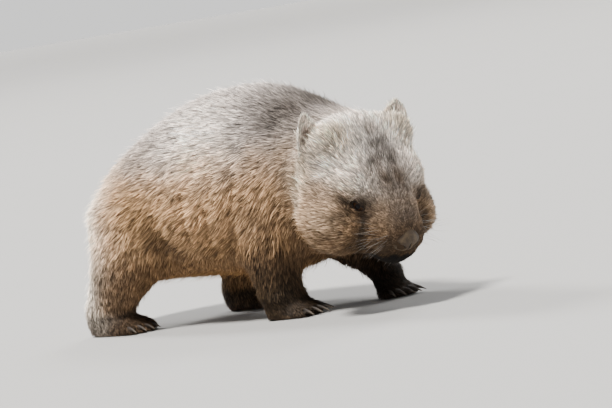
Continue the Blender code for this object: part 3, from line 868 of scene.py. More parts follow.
@dataclass(frozen=True)
class Patch:
    """A soft-edged mark: its share is strength times exp(-(the distance in half sizes)^2).

    It shows on both sides, unless it is said to keep to the left one, as the far cheek's painted rim light is.
    """

    middle: Triple
    reach: Triple
    colour: Triple
    strength: float
    on_head: bool = False
    left_only: bool = False

    def share(self, points: Array, places: Array) -> Array:
        """How much of each point it takes, from places in the frame and along the head's axes."""
        where = places if self.on_head else points
        aside = where[:, 1] if self.left_only else np.abs(where[:, 1])
        away = np.stack([where[:, 0], aside, where[:, 2]], axis=1) - np.array(self.middle)
        return np.minimum(self.strength * np.exp(-np.sum((away / np.array(self.reach)) ** 2, axis=1)), 1.0)


SILVER = (0.400, 0.356, 0.328)
TAN = (0.415, 0.255, 0.132)
WARM = (0.235, 0.130, 0.054)
BROWN = (0.110, 0.067, 0.037)
DARK = (0.022, 0.016, 0.012)
CREAM = (0.720, 0.615, 0.480)
# Pale frosted fur, made paler as painted sunlight on the crown and the ears' backs.
FROSTED_AND_SUNLIT = (0.740, 0.680, 0.625)
SUNLIT = (0.800, 0.725, 0.655)
# Painted rim light: the pale fringe that light from behind gives the coat's edges.
PAINTED_RIM_LIGHT = (0.800, 0.720, 0.620)
PINK = (0.780, 0.660, 0.560)
HOLLOW = (0.230, 0.140, 0.105)

PATCHES = (
    Patch((-0.020, 0.085, 0.285), (0.075, 0.060, 0.050), SUNLIT, 0.75),
    Patch((-0.135, 0.085, 0.262), (0.060, 0.055, 0.045), (0.235, 0.190, 0.160), 0.65),
    # Painted highlight on the upper flank.
    Patch((0.000, 0.115, 0.236), (0.050, 0.040, 0.026), (0.630, 0.465, 0.320), 0.65),
    # Painted rim light along the rump's rear edge.
    Patch((-0.250, 0.085, 0.170), (0.050, 0.070, 0.070), PAINTED_RIM_LIGHT, 0.85),
    Patch((-0.272, 0.090, 0.085), (0.026, 0.060, 0.055), PAINTED_RIM_LIGHT, 0.90),
    Patch((-0.130, 0.117, 0.180), (0.040, 0.040, 0.045), (0.235, 0.138, 0.062), 0.80),
    Patch((0.120, 0.040, 0.295), (0.065, 0.090, 0.055), (0.078, 0.066, 0.058), 1.00),
    Patch((-0.190, 0.095, 0.070), (0.045, 0.040, 0.045), BROWN, 0.75),
    # Painted shadow in the fold at the thigh.
    Patch((-0.098, 0.108, 0.124), (0.042, 0.042, 0.036), (0.050, 0.029, 0.014), 1.05),
    Patch((-0.050, 0.070, 0.078), (0.130, 0.050, 0.020), WARM, 0.70),
    # Painted shade on each foreleg, from the shoulder down to the paw.
    Patch((0.075, 0.105, 0.155), (0.060, 0.045, 0.050), (0.160, 0.098, 0.053), 0.80),
    Patch((0.060, 0.100, 0.085), (0.060, 0.045, 0.035), (0.075, 0.046, 0.025), 0.85),
    Patch((0.070, 0.080, 0.040), (0.070, 0.060, 0.040), (0.030, 0.020, 0.011), 1.00),
    # Painted shadow, nearly black, low between the forelegs under the head.
    Patch((0.150, 0.060, 0.050), (0.060, 0.060, 0.060), (0.010, 0.007, 0.005), 1.20),
    Patch((0.140, 0.020, 0.095), (0.050, 0.090, 0.035), BROWN, 0.95),
    Patch((0.148, 0.110, 0.225), (0.036, 0.050, 0.070), (0.150, 0.108, 0.074), 1.00),
    Patch((0.020, 0.020, 0.060), (0.080, 0.060, 0.075), TAN, 0.35, True),
    # The crown's pale frosted fur, made paler still as painted sunlight from above.
    Patch((0.000, 0.020, 0.072), (0.060, 0.065, 0.050), FROSTED_AND_SUNLIT, 1.10, True),
    Patch((0.045, 0.010, 0.042), (0.040, 0.055, 0.032), FROSTED_AND_SUNLIT, 0.70, True),
    Patch((0.000, 0.083, 0.038), (0.040, 0.034, 0.030), SUNLIT, 0.90, True),
    Patch((-0.035, 0.030, 0.081), (0.030, 0.022, 0.030), SUNLIT, 0.85, True),
    Patch((-0.015, 0.058, 0.076), (0.030, 0.028, 0.030), CREAM, 0.80, True),
    Patch((0.046, 0.052, 0.030), (0.018, 0.020, 0.013), SUNLIT, 1.00, True),
    Patch((-0.022, 0.003, 0.078), (0.008, 0.007, 0.030), BROWN, 0.55, True),
    Patch((0.016, 0.008, 0.062), (0.034, 0.024, 0.030), (0.220, 0.188, 0.168), 0.65, True),
    Patch((0.003, 0.006, 0.066), (0.010, 0.009, 0.030), DARK, 0.72, True),
    Patch((0.024, 0.014, 0.055), (0.010, 0.010, 0.030), DARK, 0.78, True),
    Patch((0.052, 0.000, 0.034), (0.026, 0.034, 0.024), (0.165, 0.138, 0.120), 0.80, True),
    Patch((0.048, 0.012, 0.036), (0.016, 0.012, 0.030), BROWN, 0.75, True),
    Patch((0.030, 0.098, -0.030), (0.055, 0.030, 0.050), (0.385, 0.280, 0.190), 0.85, True),
    Patch((0.002, 0.091, 0.005), (0.030, 0.030, 0.018), (0.300, 0.215, 0.150), 0.60, True),
    Patch((0.045, 0.090, -0.062), (0.055, 0.040, 0.028), (0.225, 0.148, 0.086), 0.90, True),
    # Painted rim light on the far cheek's edge, kept to the left side.
    Patch((0.044, 0.106, -0.020), (0.050, 0.016, 0.055), PAINTED_RIM_LIGHT, 0.95, True, True),
    Patch((0.030, 0.092, 0.035), (0.050, 0.022, 0.050), PAINTED_RIM_LIGHT, 0.80, True, True),
    Patch((-0.034, 0.096, 0.005), (0.017, 0.030, 0.055), CREAM, 0.85, True),
    Patch((-0.035, 0.070, 0.078), (0.022, 0.030, 0.022), CREAM, 0.65, True),
    Patch((0.034, 0.070, 0.024), (0.018, 0.018, 0.010), CREAM, 0.45, True),
    Patch((0.046, 0.056, 0.004), (0.019, 0.016, 0.013), DARK, 0.96, True),
    Patch((0.034, 0.068, 0.004), (0.012, 0.012, 0.005), DARK, 0.80, True),
    Patch((0.058, 0.044, 0.008), (0.012, 0.012, 0.010), DARK, 0.40, True),
    # A dark stripe the coat has from eye to mouth, deepened as painted shade in the groove there.
    Patch((0.064, 0.050, -0.012), (0.013, 0.014, 0.016), DARK, 0.95, True),
    Patch((0.068, 0.053, -0.032), (0.013, 0.015, 0.016), DARK, 0.85, True),
    Patch((0.072, 0.053, -0.050), (0.016, 0.018, 0.012), DARK, 1.00, True),
    Patch((0.050, 0.090, -0.016), (0.008, 0.014, 0.009), DARK, 0.75, True),
    Patch((0.044, 0.078, -0.010), (0.010, 0.014, 0.005), DARK, 0.60, True),
    Patch((0.058, 0.078, -0.044), (0.014, 0.018, 0.007), BROWN, 0.60, True),
    Patch((0.082, 0.000, -0.002), (0.030, 0.044, 0.028), (0.112, 0.092, 0.078), 0.90, True),
    Patch((0.094, 0.032, -0.036), (0.022, 0.018, 0.018), (0.060, 0.043, 0.031), 0.90, True),
    Patch((0.100, 0.000, -0.031), (0.020, 0.032, 0.023), (0.045, 0.032, 0.023), 0.85, True),
    # Painted shadow, nearly black, under the chin and jaw.
    Patch((0.092, 0.000, -0.070), (0.042, 0.058, 0.022), (0.005, 0.004, 0.003), 1.80, True),
    Patch((0.056, 0.025, -0.080), (0.055, 0.060, 0.018), (0.012, 0.008, 0.006), 1.20, True),
)


def drawn(colour: Array, other: Array | Triple, share: Array) -> Array:
    """A colour drawn towards another by a share at each point."""
    return colour + share[:, None] * (np.array(other) - colour)


@dataclass
class Markings:
    """The colours of skin and coat alike: broad fields by height and zone, then the patches and the ears."""

    plan: BodyPlan
    ragged: float = 0.0045
    ragged_size: float = 0.013
    drift: float = 0.012
    drift_size: float = 0.050
    tan_heights: Span = (0.090, 0.150)
    silver_heights: Span = (0.205, 0.285)
    leg_share: float = 0.75
    foot_share: float = 0.90
    lining_rim: Span = (0.05, 0.45)
    back_rim: Span = (0.20, 0.90)
    mottle: float = 0.10
    mottle_sizes: Span = (0.021, 0.007)
    shade_limits: Span = (0.004, 0.85)

    def colours(self, points: Array, shares: dict[Zone, Array]) -> Array:
        """The coat's colour at each point.

        Args:
            points: Places on the body, one row each.
            shares: The zones' shares there.

        Returns:
            Linear red, green and blue, one row each.
        """
        moved = points + self.ragged * grain_ways(points, self.ragged_size, 1.0)
        places = HEAD.into(moved)
        height = moved[:, 2] + self.drift * grain(points, self.drift_size, 4.0)
        colour = drawn(np.array(WARM), TAN, ramp(*self.tan_heights, height))
        colour = drawn(colour, SILVER, ramp(*self.silver_heights, height))
        colour = drawn(colour, BROWN, self.leg_share * shares[Zone.LEG])
        colour = drawn(colour, DARK, self.foot_share * shares[Zone.FOOT])
        for patch in PATCHES:
            colour = drawn(colour, patch.colour, patch.share(moved, places))
        rim = self.plan.ear_rim(points)
        lining = drawn(np.array(HOLLOW), PINK, ramp(*self.lining_rim, rim))
        # The ear's back is pale frosted fur brightened as painted sunlight, paler still towards its rim as
        # painted rim light.
        back = drawn(np.array(FROSTED_AND_SUNLIT), PAINTED_RIM_LIGHT, ramp(*self.back_rim, rim))
        colour = drawn(colour, drawn(back, lining, self.plan.in_ear(points)), shares[Zone.EAR])
        coarse, fine = self.mottle_sizes
        tone = 1.0 + self.mottle * grain(points, coarse, 5.0) + self.mottle * grain(points, fine, 6.0)
        return np.clip(colour * tone[:, None], *self.shade_limits)


@dataclass(frozen=True)
class Lay:
    """A stretch of coat that lies a way of its own: a direction, strongest at the middle of a soft oval."""

    middle: Triple
    reach: Triple
    direction: Triple
    strength: float = 1.0


LAYS = (
    Lay((-0.270, 0.0, 0.180), (0.060, 0.200, 0.110), (-0.20, 0.0, -1.0), 1.6),
    Lay((-0.200, 0.1, 0.110), (0.080, 0.080, 0.070), (-0.35, 0.0, -1.0), 1.4),
    Lay((0.080, 0.1, 0.130), (0.060, 0.080, 0.070), (-0.55, 0.0, -1.0), 1.2),
    Lay((0.130, 0.0, 0.110), (0.050, 0.120, 0.040), (-0.30, 0.0, -1.0), 1.4),
)


@dataclass
class CoatLie:
    """The way the coat lies: back along the body and down its sides, and away from the nose on the head."""

    back: Triple = (-1.0, 0.0, 0.0)
    down_sides: Triple = (0.10, 0.0, -0.62)
    nose: Triple = (0.112, 0.0, -0.034)
    head_fall: Triple = (0.0, 0.0, -0.22)
    head_pull: float = 1.3
    leg: Triple = (0.15, 0.0, -2.2)
    foot: Triple = (2.0, 0.0, -1.2)
    up_ear: Triple = (-0.25, 0.0, 1.0)
    ear_rise: Triple = (0.0, 0.0, 0.4)
    sway: float = 0.32
    sway_size: float = 0.017
    whorl: float = 0.16
    whorl_size: float = 0.006

    def directions(self, points: Array, normals: Array, shares: dict[Zone, Array]) -> Array:
        """Unit directions along the skin, one for each point.

        Args:
            points: Roots, one row each.
            normals: The skin's normals there.
            shares: The zones' shares there.

        Returns:
            Directions square to the normals.
        """
        side = 1.0 - np.abs(normals[:, 2:3])
        lie = np.array(self.back) + side * np.array(self.down_sides)
        mirrored = np.stack([points[:, 0], np.abs(points[:, 1]), points[:, 2]], axis=1)
        for lay in LAYS:
            away = (mirrored - np.array(lay.middle)) / np.array(lay.reach)
            share = lay.strength * np.exp(-np.sum(away**2, axis=1, keepdims=True))
            lie = lie + share * np.array(lay.direction)
        head = sum(shares[zone] for zone in (Zone.CROWN, Zone.FACE, Zone.MUZZLE))[:, None]
        from_nose = unit(points - HEAD.out(self.nose)) + np.array(self.head_fall)
        lie = lie * (1.0 - head) + from_nose * head * self.head_pull
        lie = lie + shares[Zone.LEG][:, None] * np.array(self.leg)
        lie = lie + shares[Zone.FOOT][:, None] * np.array(self.foot)
        outwards = HEAD.turn(self.up_ear) + np.array(self.ear_rise)
        lie = lie * (1.0 - shares[Zone.EAR][:, None]) + shares[Zone.EAR][:, None] * outwards
        wander = grain_ways(points, self.sway_size, 11.0)
        ripple = grain_ways(points, self.whorl_size, 14.0)
        lie = unit(lie) + self.sway * wander + self.whorl * ripple
        return unit(lie - normals * np.sum(lie * normals, axis=1, keepdims=True))


BODY_LINE_HEIGHT = 0.165
HEAD_LINE_DROP = 0.01
MAP_EDGE = 0.02


class Unwrap(Enum):
    """How a coat piece's stretch of skin is laid flat for baking."""

    ROUND_BODY = "turned about a level line through the trunk"
    ROUND_HEAD = "turned about the head's forward axis"
    UPRIGHT = "turned about an upright line"

    def flat(self, points: Array) -> Array:
        """Places on the flat map, filling it both ways but for its edges."""
        if self is Unwrap.ROUND_BODY:
            turn = np.arctan2(points[:, 1], points[:, 2] - BODY_LINE_HEIGHT)
            flat = np.stack([turn, points[:, 0]], axis=1)
        elif self is Unwrap.ROUND_HEAD:
            forward, aside, up = HEAD.into(points).T
            flat = np.stack([np.arctan2(aside, up + HEAD_LINE_DROP), forward], axis=1)
        else:
            away = points - points.mean(0)
            flat = np.stack([np.arctan2(away[:, 1], away[:, 0]), points[:, 2]], axis=1)
        low, high = flat.min(0), flat.max(0)
        return MAP_EDGE + (1.0 - 2.0 * MAP_EDGE) * (flat - low) / (high - low)


@dataclass(frozen=True)
class Territory:
    """The stretch of skin that one coat piece grows on, and how it is laid flat."""

    name: str
    unwrap: Unwrap
    slot: str = "fur"


PAIRED = (
    ("shoulder", Unwrap.ROUND_BODY, "fur"),
    ("loin", Unwrap.ROUND_BODY, "fur"),
    ("rump", Unwrap.ROUND_BODY, "fur"),
    ("forelimb", Unwrap.UPRIGHT, "dark_fur"),
    ("hindlimb", Unwrap.UPRIGHT, "dark_fur"),
    ("ear", Unwrap.UPRIGHT, "pale_fur"),
)
TERRITORIES = (
    Territory("coat_face", Unwrap.ROUND_HEAD),
    Territory("coat_crown", Unwrap.ROUND_HEAD),
    Territory("coat_neck", Unwrap.ROUND_BODY),
    *(Territory(f"coat_{side}_{part}", unwrap, slot) for part, unwrap, slot in PAIRED for side in SIDES),
)
NUMBERS = {territory.name: number for number, territory in enumerate(TERRITORIES)}


@dataclass(frozen=True)
class Borders:
    """Where one territory ends and the next begins. Of a pair the right one follows the left."""

    shoulder_back: float = 0.025
    loin_back: float = -0.115
    neck_back: float = 0.120
    neck_bottom: float = 0.085
    limb_top: float = 0.100
    limb_inside: float = 0.028
    head_share: float = 0.5
    face_back: float = 0.018
    ear_gap: float = 0.0028

    def number(self, points: Array, plan: BodyPlan) -> Array:
        """The number of the territory that each point belongs to."""
        x, y, z = points.T
        right = (y < 0.0).astype(int)
        forward, aside, _ = HEAD.into(points).T
        behind = np.where(x > self.loin_back, NUMBERS["coat_left_loin"], NUMBERS["coat_left_rump"])
        number = np.where(x > self.shoulder_back, NUMBERS["coat_left_shoulder"], behind) + right
        number = np.where((x > self.neck_back) & (z > self.neck_bottom), NUMBERS["coat_neck"], number)
        limb = (z < self.limb_top) & (np.abs(y) > self.limb_inside)
        leg = np.where(x > 0.0, NUMBERS["coat_left_forelimb"], NUMBERS["coat_left_hindlimb"])
        number = np.where(limb, leg + right, number)
        face = np.where(forward > self.face_back, NUMBERS["coat_face"], NUMBERS["coat_crown"])
        number = np.where(plan.on_head(points) > self.head_share, face, number)
        ear = gap_to_cloud(points, plan.ear_points, plan.ear_reach) < self.ear_gap
        return np.where(ear, NUMBERS["coat_left_ear"] + (aside < 0.0).astype(int), number)


@dataclass
class Coat:
    """Tufts over the skin: each a bent, V-shaped blade of six triangles that tapers to a point.

    A tuft's middle line is root + lie * length * s + normal * tip height * (1 - (1 - s)^rise), drawn towards
    the middle of its lock by the lock's pull times s^gather. A few strays are thinner, longer and stand out
    more. A spread is a pair: the least share of the zone's size, and how much chance may add to it.
    """

    skin: Skin
    plan: BodyPlan
    markings: Markings
    lie: CoatLie
    seed: int = 7
    most: int = 33000
    length_spread: Span = (0.72, 0.56)
    height_spread: Span = (0.62, 0.55)
    width_spread: Span = (0.75, 0.5)
    rise: float = 1.8
    gather: float = 1.5
    ridge: float = 0.30
    twist: float = 0.55
    lock_size: float = 0.0054
    lock_pull: float = 0.42
    lock_length: float = 0.018
    lock_least: float = 0.25
    lock_height_spread: Span = (0.74, 0.52)
    lock_tone_spread: Span = (0.58, 0.84)
    lining_share: float = 0.50
    stray_share: float = 0.07
    stray_from: float = 0.0060
    stray_length: float = 1.25
    stray_height: float = 1.75
    stray_width: float = 0.55
    stray_tone: float = 1.35
    palest: float = 0.9
    eye_clear: float = 1.30
    sole_clear: float = 0.0022
    floor_gap: float = 0.0005
    bury: float = 0.0006
    patch: float = 0.003
    levels: Triple = (0.0, 0.52, 1.0)
    widths: Span = (1.0, 0.80)
    made: dict[str, int] = field(default_factory=dict)

    def roots(self, number: int, faces: Array, expected: Array,
              chance: np.random.Generator) -> tuple[Array, Array]:
        """Spread roots over some of the skin's triangles.

        Args:
            number: How many tufts to place.
            faces: Corner numbers of the triangles.
            expected: How many tufts each triangle should hold.
            chance: Source of chance.

        Returns:
            Roots and the skin's normals there.
        """
        ladder = np.cumsum(expected)
        steps = (np.arange(number) + chance.random(number)) * ladder[-1] / number
        picked = np.minimum(np.searchsorted(ladder, steps), len(faces) - 1)
        first, second = chance.random(number), chance.random(number)
        fold = first + second > 1.0
        first, second = np.where(fold, 1.0 - first, first), np.where(fold, 1.0 - second, second)
        weights = np.stack([1.0 - first - second, first, second], axis=1)[:, :, None]
        corners = faces[picked]
        roots = (self.skin.points[corners] * weights).sum(1)
        normals = unit((self.skin.normals[corners] * weights).sum(1))
        return roots, normals

    def locks(self, roots: Array, size: Array) -> tuple[Array, Array]:
        """Gather the tufts into locks, each round the nearest of one shaken point to each cell.

        Args:
            roots: Roots, one row each.
            size: Share of the full way to the lock's middle that each tuft may be drawn.

        Returns:
            The way from each root to the middle of its lock, and the lock's own number from 0 to 1.
        """
        place = roots / self.lock_size
        base = np.floor(place)
        best = np.full(len(roots), np.inf)
        towards, number = np.zeros_like(roots), np.zeros(len(roots))
        for corner in itertools.product((-1, 0, 1), repeat=3):
            cell = base + np.array(corner)
            shaken = np.stack([cell_number(cell, seed) for seed in (21.0, 22.0, 23.0)], axis=1)
            step = cell + shaken - place
            apart = np.sum(step**2, axis=1)
            nearer = apart < best
            best = np.where(nearer, apart, best)
            towards = np.where(nearer[:, None], step, towards)
            number = np.where(nearer, shaken[:, 0], number)
        return towards * self.lock_size * size[:, None], number

    def bare(self, roots: Array) -> Array:
        """True where no fur grows: over the eyes' openings, on the nose pad and under the soles."""
        open_eye = np.minimum(EYES["left"].opening(roots), EYES["right"].opening(roots))
        return (open_eye < self.eye_clear) | PAD.covers(roots) | (roots[:, 2] < self.sole_clear)

    def sized(self, shares: dict[Zone, Array], what: str, spread: Span, chance: np.random.Generator) -> Array:
        """One of the growth's sizes for each tuft, with a chance of its own."""
        size = self.plan.blend(shares, what)
        return size * (spread[0] + spread[1] * chance.random(len(size)))

    def blades(self, roots: Array, normals: Array, lie: Array, across: Array, lock: Array, length: Array,
               height: Array, width: Array) -> Array:
        """The tufts' corners: three at each level but the last, and the point.

        Args:
            roots: Roots, one row each.
            normals: The skin's normals there.
            lie: The way each tuft lies.
            across: The way across each blade.
            lock: The way to the middle of the lock, along the skin.
            length: Each tuft's length.
            height: How far its point stands off the skin.
            width: Its width at the root.

        Returns:
            Seven corners for each tuft.
        """
        points = []
        for level, wide in zip(self.levels, (*self.widths, 0.0)):
            middle = roots + lie * (length * level)[:, None]
            middle += normals * (height * (1.0 - (1.0 - level) ** self.rise) - self.bury)[:, None]
            middle += lock * (self.lock_pull * level**self.gather)
            if wide:
                half = across * (0.5 * wide * width)[:, None]
                crest = middle + normals * (self.ridge * wide * width)[:, None]
                points += [middle - half, crest, middle + half]
            else:
                points.append(middle)
        points = np.stack(points, axis=1)
        points[:, :, 2] = np.maximum(points[:, :, 2], self.floor_gap)
        return points

    def grow(self, index: int, faces: Array, expected: Array, material: bpy.types.Material) -> None:
        """Grow and show one territory's coat.

        Args:
            index: The territory's number.
            faces: Corner numbers of its triangles.
            expected: How many tufts each triangle should hold.
            material: The coat's finish.
        """
        territory = TERRITORIES[index]
        chance = np.random.default_rng(self.seed + index)
        roots, normals = self.roots(min(self.most, int(expected.sum())), faces, expected, chance)
        keep = ~self.bare(roots)
        roots, normals = roots[keep], normals[keep]
        shares = self.plan.shares(roots)
        lie = self.lie.directions(roots, normals, shares)
        length = self.sized(shares, "length", self.length_spread, chance)
        height = self.sized(shares, "depth", self.height_spread, chance)
        width = self.sized(shares, "width", self.width_spread, chance)
        lock, number = self.locks(roots, np.clip(length / self.lock_length, self.lock_least, 1.0))
        height = height * (self.lock_height_spread[0] + self.lock_height_spread[1] * number)
        stray = (chance.random(len(roots)) < self.stray_share) & (length > self.stray_from)
        length = np.where(stray, self.stray_length * length, length)
        height = np.where(stray, self.stray_height * height, height)
        width = np.where(stray, self.stray_width * width, width)
        lock -= normals * np.sum(lock * normals, axis=1, keepdims=True)
        across = unit(np.cross(lie, normals) + self.twist * normals * (chance.random((len(roots), 1)) - 0.5))
        points = self.blades(roots, normals, lie, across, lock, length, height, width)
        tone = self.lock_tone_spread[0] + self.lock_tone_spread[1] * number
        colour = self.markings.colours(roots, shares) * tone[:, None]
        colour = np.minimum(np.where(stray[:, None], self.stray_tone * colour, colour), self.palest)
        self.show(territory, points, roots, colour, chance, material)

    def show(self, territory: Territory, points: Array, roots: Array, colour: Array,
             chance: np.random.Generator, material: bpy.types.Material) -> None:
        """Join the tufts into one mesh with its colours and its map for baking.

        Args:
            territory: The stretch of skin that the tufts grow on.
            points: Seven corners for each tuft.
            roots: Their roots.
            colour: Their colours.
            chance: Source of chance.
            material: The coat's finish.
        """
        count, corners = points.shape[:2]
        blade = np.array(((0, 1, 4), (0, 4, 3), (1, 2, 5), (1, 5, 4), (3, 4, 6), (4, 5, 6)))
        faces = (np.arange(count)[:, None, None] * corners + blade[None]).reshape(-1, 3)
        mesh = mesh_of(territory.name, points.reshape(-1, 3), faces)
        level = np.repeat(np.array(self.levels), (3, 3, 1))
        paint(mesh, np.repeat(colour, corners, axis=0))
        mark(mesh, Mark.ALONG, np.tile(level, count))
        mark(mesh, Mark.STRAND, np.repeat(chance.random(count), corners))
        side = np.array((-0.5, 0.0, 0.5, -0.5, 0.0, 0.5, 0.0))
        flat = territory.unwrap.flat(roots)[:, None, :] + self.patch * np.stack([side, level - 0.5], axis=1)
        flat = flat.reshape(-1, 2)[faces.ravel()]
        uv = mesh.uv_layers.new(name="OFBake")
        uv.data.foreach_set("uv", np.clip(flat, 0.0, 1.0).astype(np.float32).ravel())
        put(territory.name, mesh, material)
        self.made[territory.name] = len(faces)

    def build(self, material: bpy.types.Material) -> None:
        """Grow every territory."""
        faces = self.skin.triangles()
        corners = self.skin.points[faces]
        middles = corners.mean(1)
        crossed = np.cross(corners[:, 1] - corners[:, 0], corners[:, 2] - corners[:, 0])
        area = 0.5 * np.linalg.norm(crossed, axis=1)
        shares = self.plan.shares(middles)
        expected = area * CM2_PER_M2 * self.plan.blend(shares, "number")
        expected *= 1.0 - (1.0 - self.lining_share) * shares[Zone.EAR] * self.plan.in_ear(middles)
        number = Borders().number(middles, self.plan)
        for index, territory in enumerate(TERRITORIES):
            mine = number == index
            self.grow(index, faces[mine], expected[mine], material)
            log.info("%s: %d triangles", territory.name, self.made[territory.name])


class Graph:
    """A material's nodes, made and joined in one way."""

    def __init__(self, name: str) -> None:
        """Start an empty material."""
        self.material = bpy.data.materials.new(name)
        self.material.use_nodes = True
        self.nodes = self.material.node_tree.nodes
        self.links = self.material.node_tree.links
        self.nodes.clear()

    def node(self, kind: str, settings: dict | None = None, values: dict | None = None) -> bpy.types.Node:
        """Make a node.

        Args:
            kind: The node's type.
            settings: Its own settings, set first.
            values: Numbers, colours, wires or sockets for its inputs, by name or place.

        Returns:
            The node.
        """
        made = self.nodes.new(kind)
        for key, value in (settings or {}).items():
            setattr(made, key, value)
        for key, value in (values or {}).items():
            if isinstance(value, Wire):
                value = value.socket
            if isinstance(value, bpy.types.NodeSocket):
                self.links.new(value, made.inputs[key])
            else:
                made.inputs[key].default_value = value
        return made

    def number(self, kind: str, output: str | int, settings: dict | None = None,
               values: dict | None = None) -> "Wire":
        """Make a node and take one of its outputs as a number."""
        return Wire(self, self.node(kind, settings, values).outputs[output])

    def ramped(self, value: "Wire", low: float, high: float) -> "Wire":
        """0 below low, 1 above high and smooth between."""
        values = {"Value": value, "From Min": low, "From Max": high}
        return self.number("ShaderNodeMapRange", "Result", {"interpolation_type": "SMOOTHSTEP"}, values)

    def carried(self, what: Mark) -> "Wire":
        """The number that the mesh carries for the finish."""
        return self.number("ShaderNodeAttribute", "Fac", {"attribute_name": what.value})

    def coat_colour(self) -> object:
        """The coat's colour that the mesh carries."""
        return self.node("ShaderNodeAttribute", {"attribute_name": Mark.COAT_COLOUR.value}).outputs["Color"]

    def mixed(self, share: "Wire | float", first: Triple, second: Triple) -> object:
        """Mix two colours and give the socket of the outcome."""
        made = self.node("ShaderNodeMix", {"data_type": "RGBA", "blend_type": "MIX"},
                         {0: share, 6: (*first, 1.0), 7: (*second, 1.0)})
        return made.outputs[2]

    def scaled(self, colour: object, by: "Wire | float") -> object:
        """A colour times a number."""
        made = self.node("ShaderNodeVectorMath", {"operation": "SCALE"}, {0: colour, "Scale": by})
        return made.outputs[0]

    def noise(self, size: float, detail: float = 3.0, rough: float = 0.55) -> "Wire":
        """Noise on object coordinates, with features of about that size."""
        where = self.node("ShaderNodeTexCoord").outputs["Object"]
        values = {"Vector": where, "Scale": 1.0 / size, "Detail": detail, "Roughness": rough}
        return self.number("ShaderNodeTexNoise", 0, None, values)

    def surface(self, values: dict) -> bpy.types.Material:
        """Finish the material with a Principled shader."""
        shader = self.node("ShaderNodeBsdfPrincipled", None, values)
        self.node("ShaderNodeOutputMaterial", None, {"Surface": shader.outputs[0]})
        return self.material

    def bumped(self, height: "Wire", distance: float) -> object:
        """A normal bent by a height."""
        values = {"Height": height, "Distance": distance, "Strength": 1.0}
        return self.node("ShaderNodeBump", None, values).outputs[0]


class Wire:
    """A number carried by a socket, so that a shader's sums are written as sums."""

    def __init__(self, graph: Graph, socket: bpy.types.NodeSocket) -> None:
        """Hold the socket and the graph that it is in."""
        self.graph = graph
        self.socket = socket

    def sum_with(self, operation: str, first: object, second: object) -> "Wire":
        """A Math node on two numbers."""
        return self.graph.number("ShaderNodeMath", 0, {"operation": operation}, {0: first, 1: second})

    def __add__(self, other: object) -> "Wire":
        """Sum."""
        return self.sum_with("ADD", self, other)

    __radd__ = __add__

    def __sub__(self, other: object) -> "Wire":
        """Difference."""
        return self.sum_with("SUBTRACT", self, other)

    def __rsub__(self, other: object) -> "Wire":
        """Difference, the other way round."""
        return self.sum_with("SUBTRACT", other, self)

    def __mul__(self, other: object) -> "Wire":
        """Product."""
        return self.sum_with("MULTIPLY", self, other)

    __rmul__ = __mul__


@dataclass(frozen=True)
class CoatFinish:
    """Fur: painted shade darkens it towards the root; some tufts have pale tips, partly painted highlight, and
    others dark tips.
    """

    root_shade: float = 0.30
    root_end: float = 0.62
    tone: Span = (0.62, 0.76)
    tip_start: float = 0.30
    pale_strands: Span = (0.55, 0.85)
    pale_gain: float = 1.10
    dark_strands: Span = (0.12, 0.36)
    dark_loss: float = 0.68
    roughness: float = 0.62
    specular: float = 0.16

    def material(self) -> bpy.types.Material:
        """Build the finish."""
        graph = Graph("wombat_fur")
        colour = graph.coat_colour()
        along = graph.carried(Mark.ALONG)
        strand = graph.carried(Mark.STRAND)
        # Painted shade: darker towards the root, deep in the coat.
        depth = self.root_shade + (1.0 - self.root_shade) * graph.ramped(along, 0.0, self.root_end)
        tone = self.tone[0] + self.tone[1] * strand
        tip = graph.ramped(along, self.tip_start, 1.0)
        # The pale tips brighten by pale_gain: partly the fur's own frosting, partly a painted highlight.
        pale = tip * graph.ramped(strand, *self.pale_strands) * self.pale_gain
        dark = tip * (1.0 - graph.ramped(strand, *self.dark_strands)) * self.dark_loss
        body = graph.scaled(colour, depth * tone * (1.0 + pale) * (1.0 - dark))
        return graph.surface({"Base Color": body, "Roughness": self.roughness,
                              "Specular IOR Level": self.specular})


@dataclass(frozen=True)
class SkinFinish:
    """Underfur close to the skin: the coat's own colour, darker, with a fine nap."""

    shade: float = 0.55
    nap_size: float = 0.0016
    nap_depth: float = 0.0007

    def material(self) -> bpy.types.Material:
        """Build the finish."""
        graph = Graph("wombat_underfur")
        nap = graph.noise(self.nap_size, 4.0, 0.7)
        body = graph.scaled(graph.coat_colour(), self.shade * (0.65 + 0.7 * nap))
        return graph.surface({"Base Color": body, "Roughness": 0.85, "Specular IOR Level": 0.15,
                              "Normal": graph.bumped(nap, self.nap_depth)})


@dataclass(frozen=True)
class EyeFinish:
    """A wet, nearly black eye with a dark brown iris round its pupil."""

    pupil: Triple = (0.004, 0.003, 0.003)
    iris: Triple = (0.050, 0.026, 0.014)
    iris_inside: Span = (0.22, 0.30)
    iris_outside: Span = (0.62, 0.80)
    streak_size: float = 0.0009

    def material(self) -> bpy.types.Material:
        """Build the finish."""
        graph = Graph("wombat_eye")
        way = graph.carried(Mark.WAY)
        streak = graph.noise(self.streak_size, 2.0)
        ring = graph.ramped(way, *self.iris_inside) * (1.0 - graph.ramped(way, *self.iris_outside))
        body = graph.mixed(ring * (0.5 + streak), self.pupil, self.iris)
        return graph.surface({"Base Color": body, "Roughness": 0.08, "Specular IOR Level": 0.12})


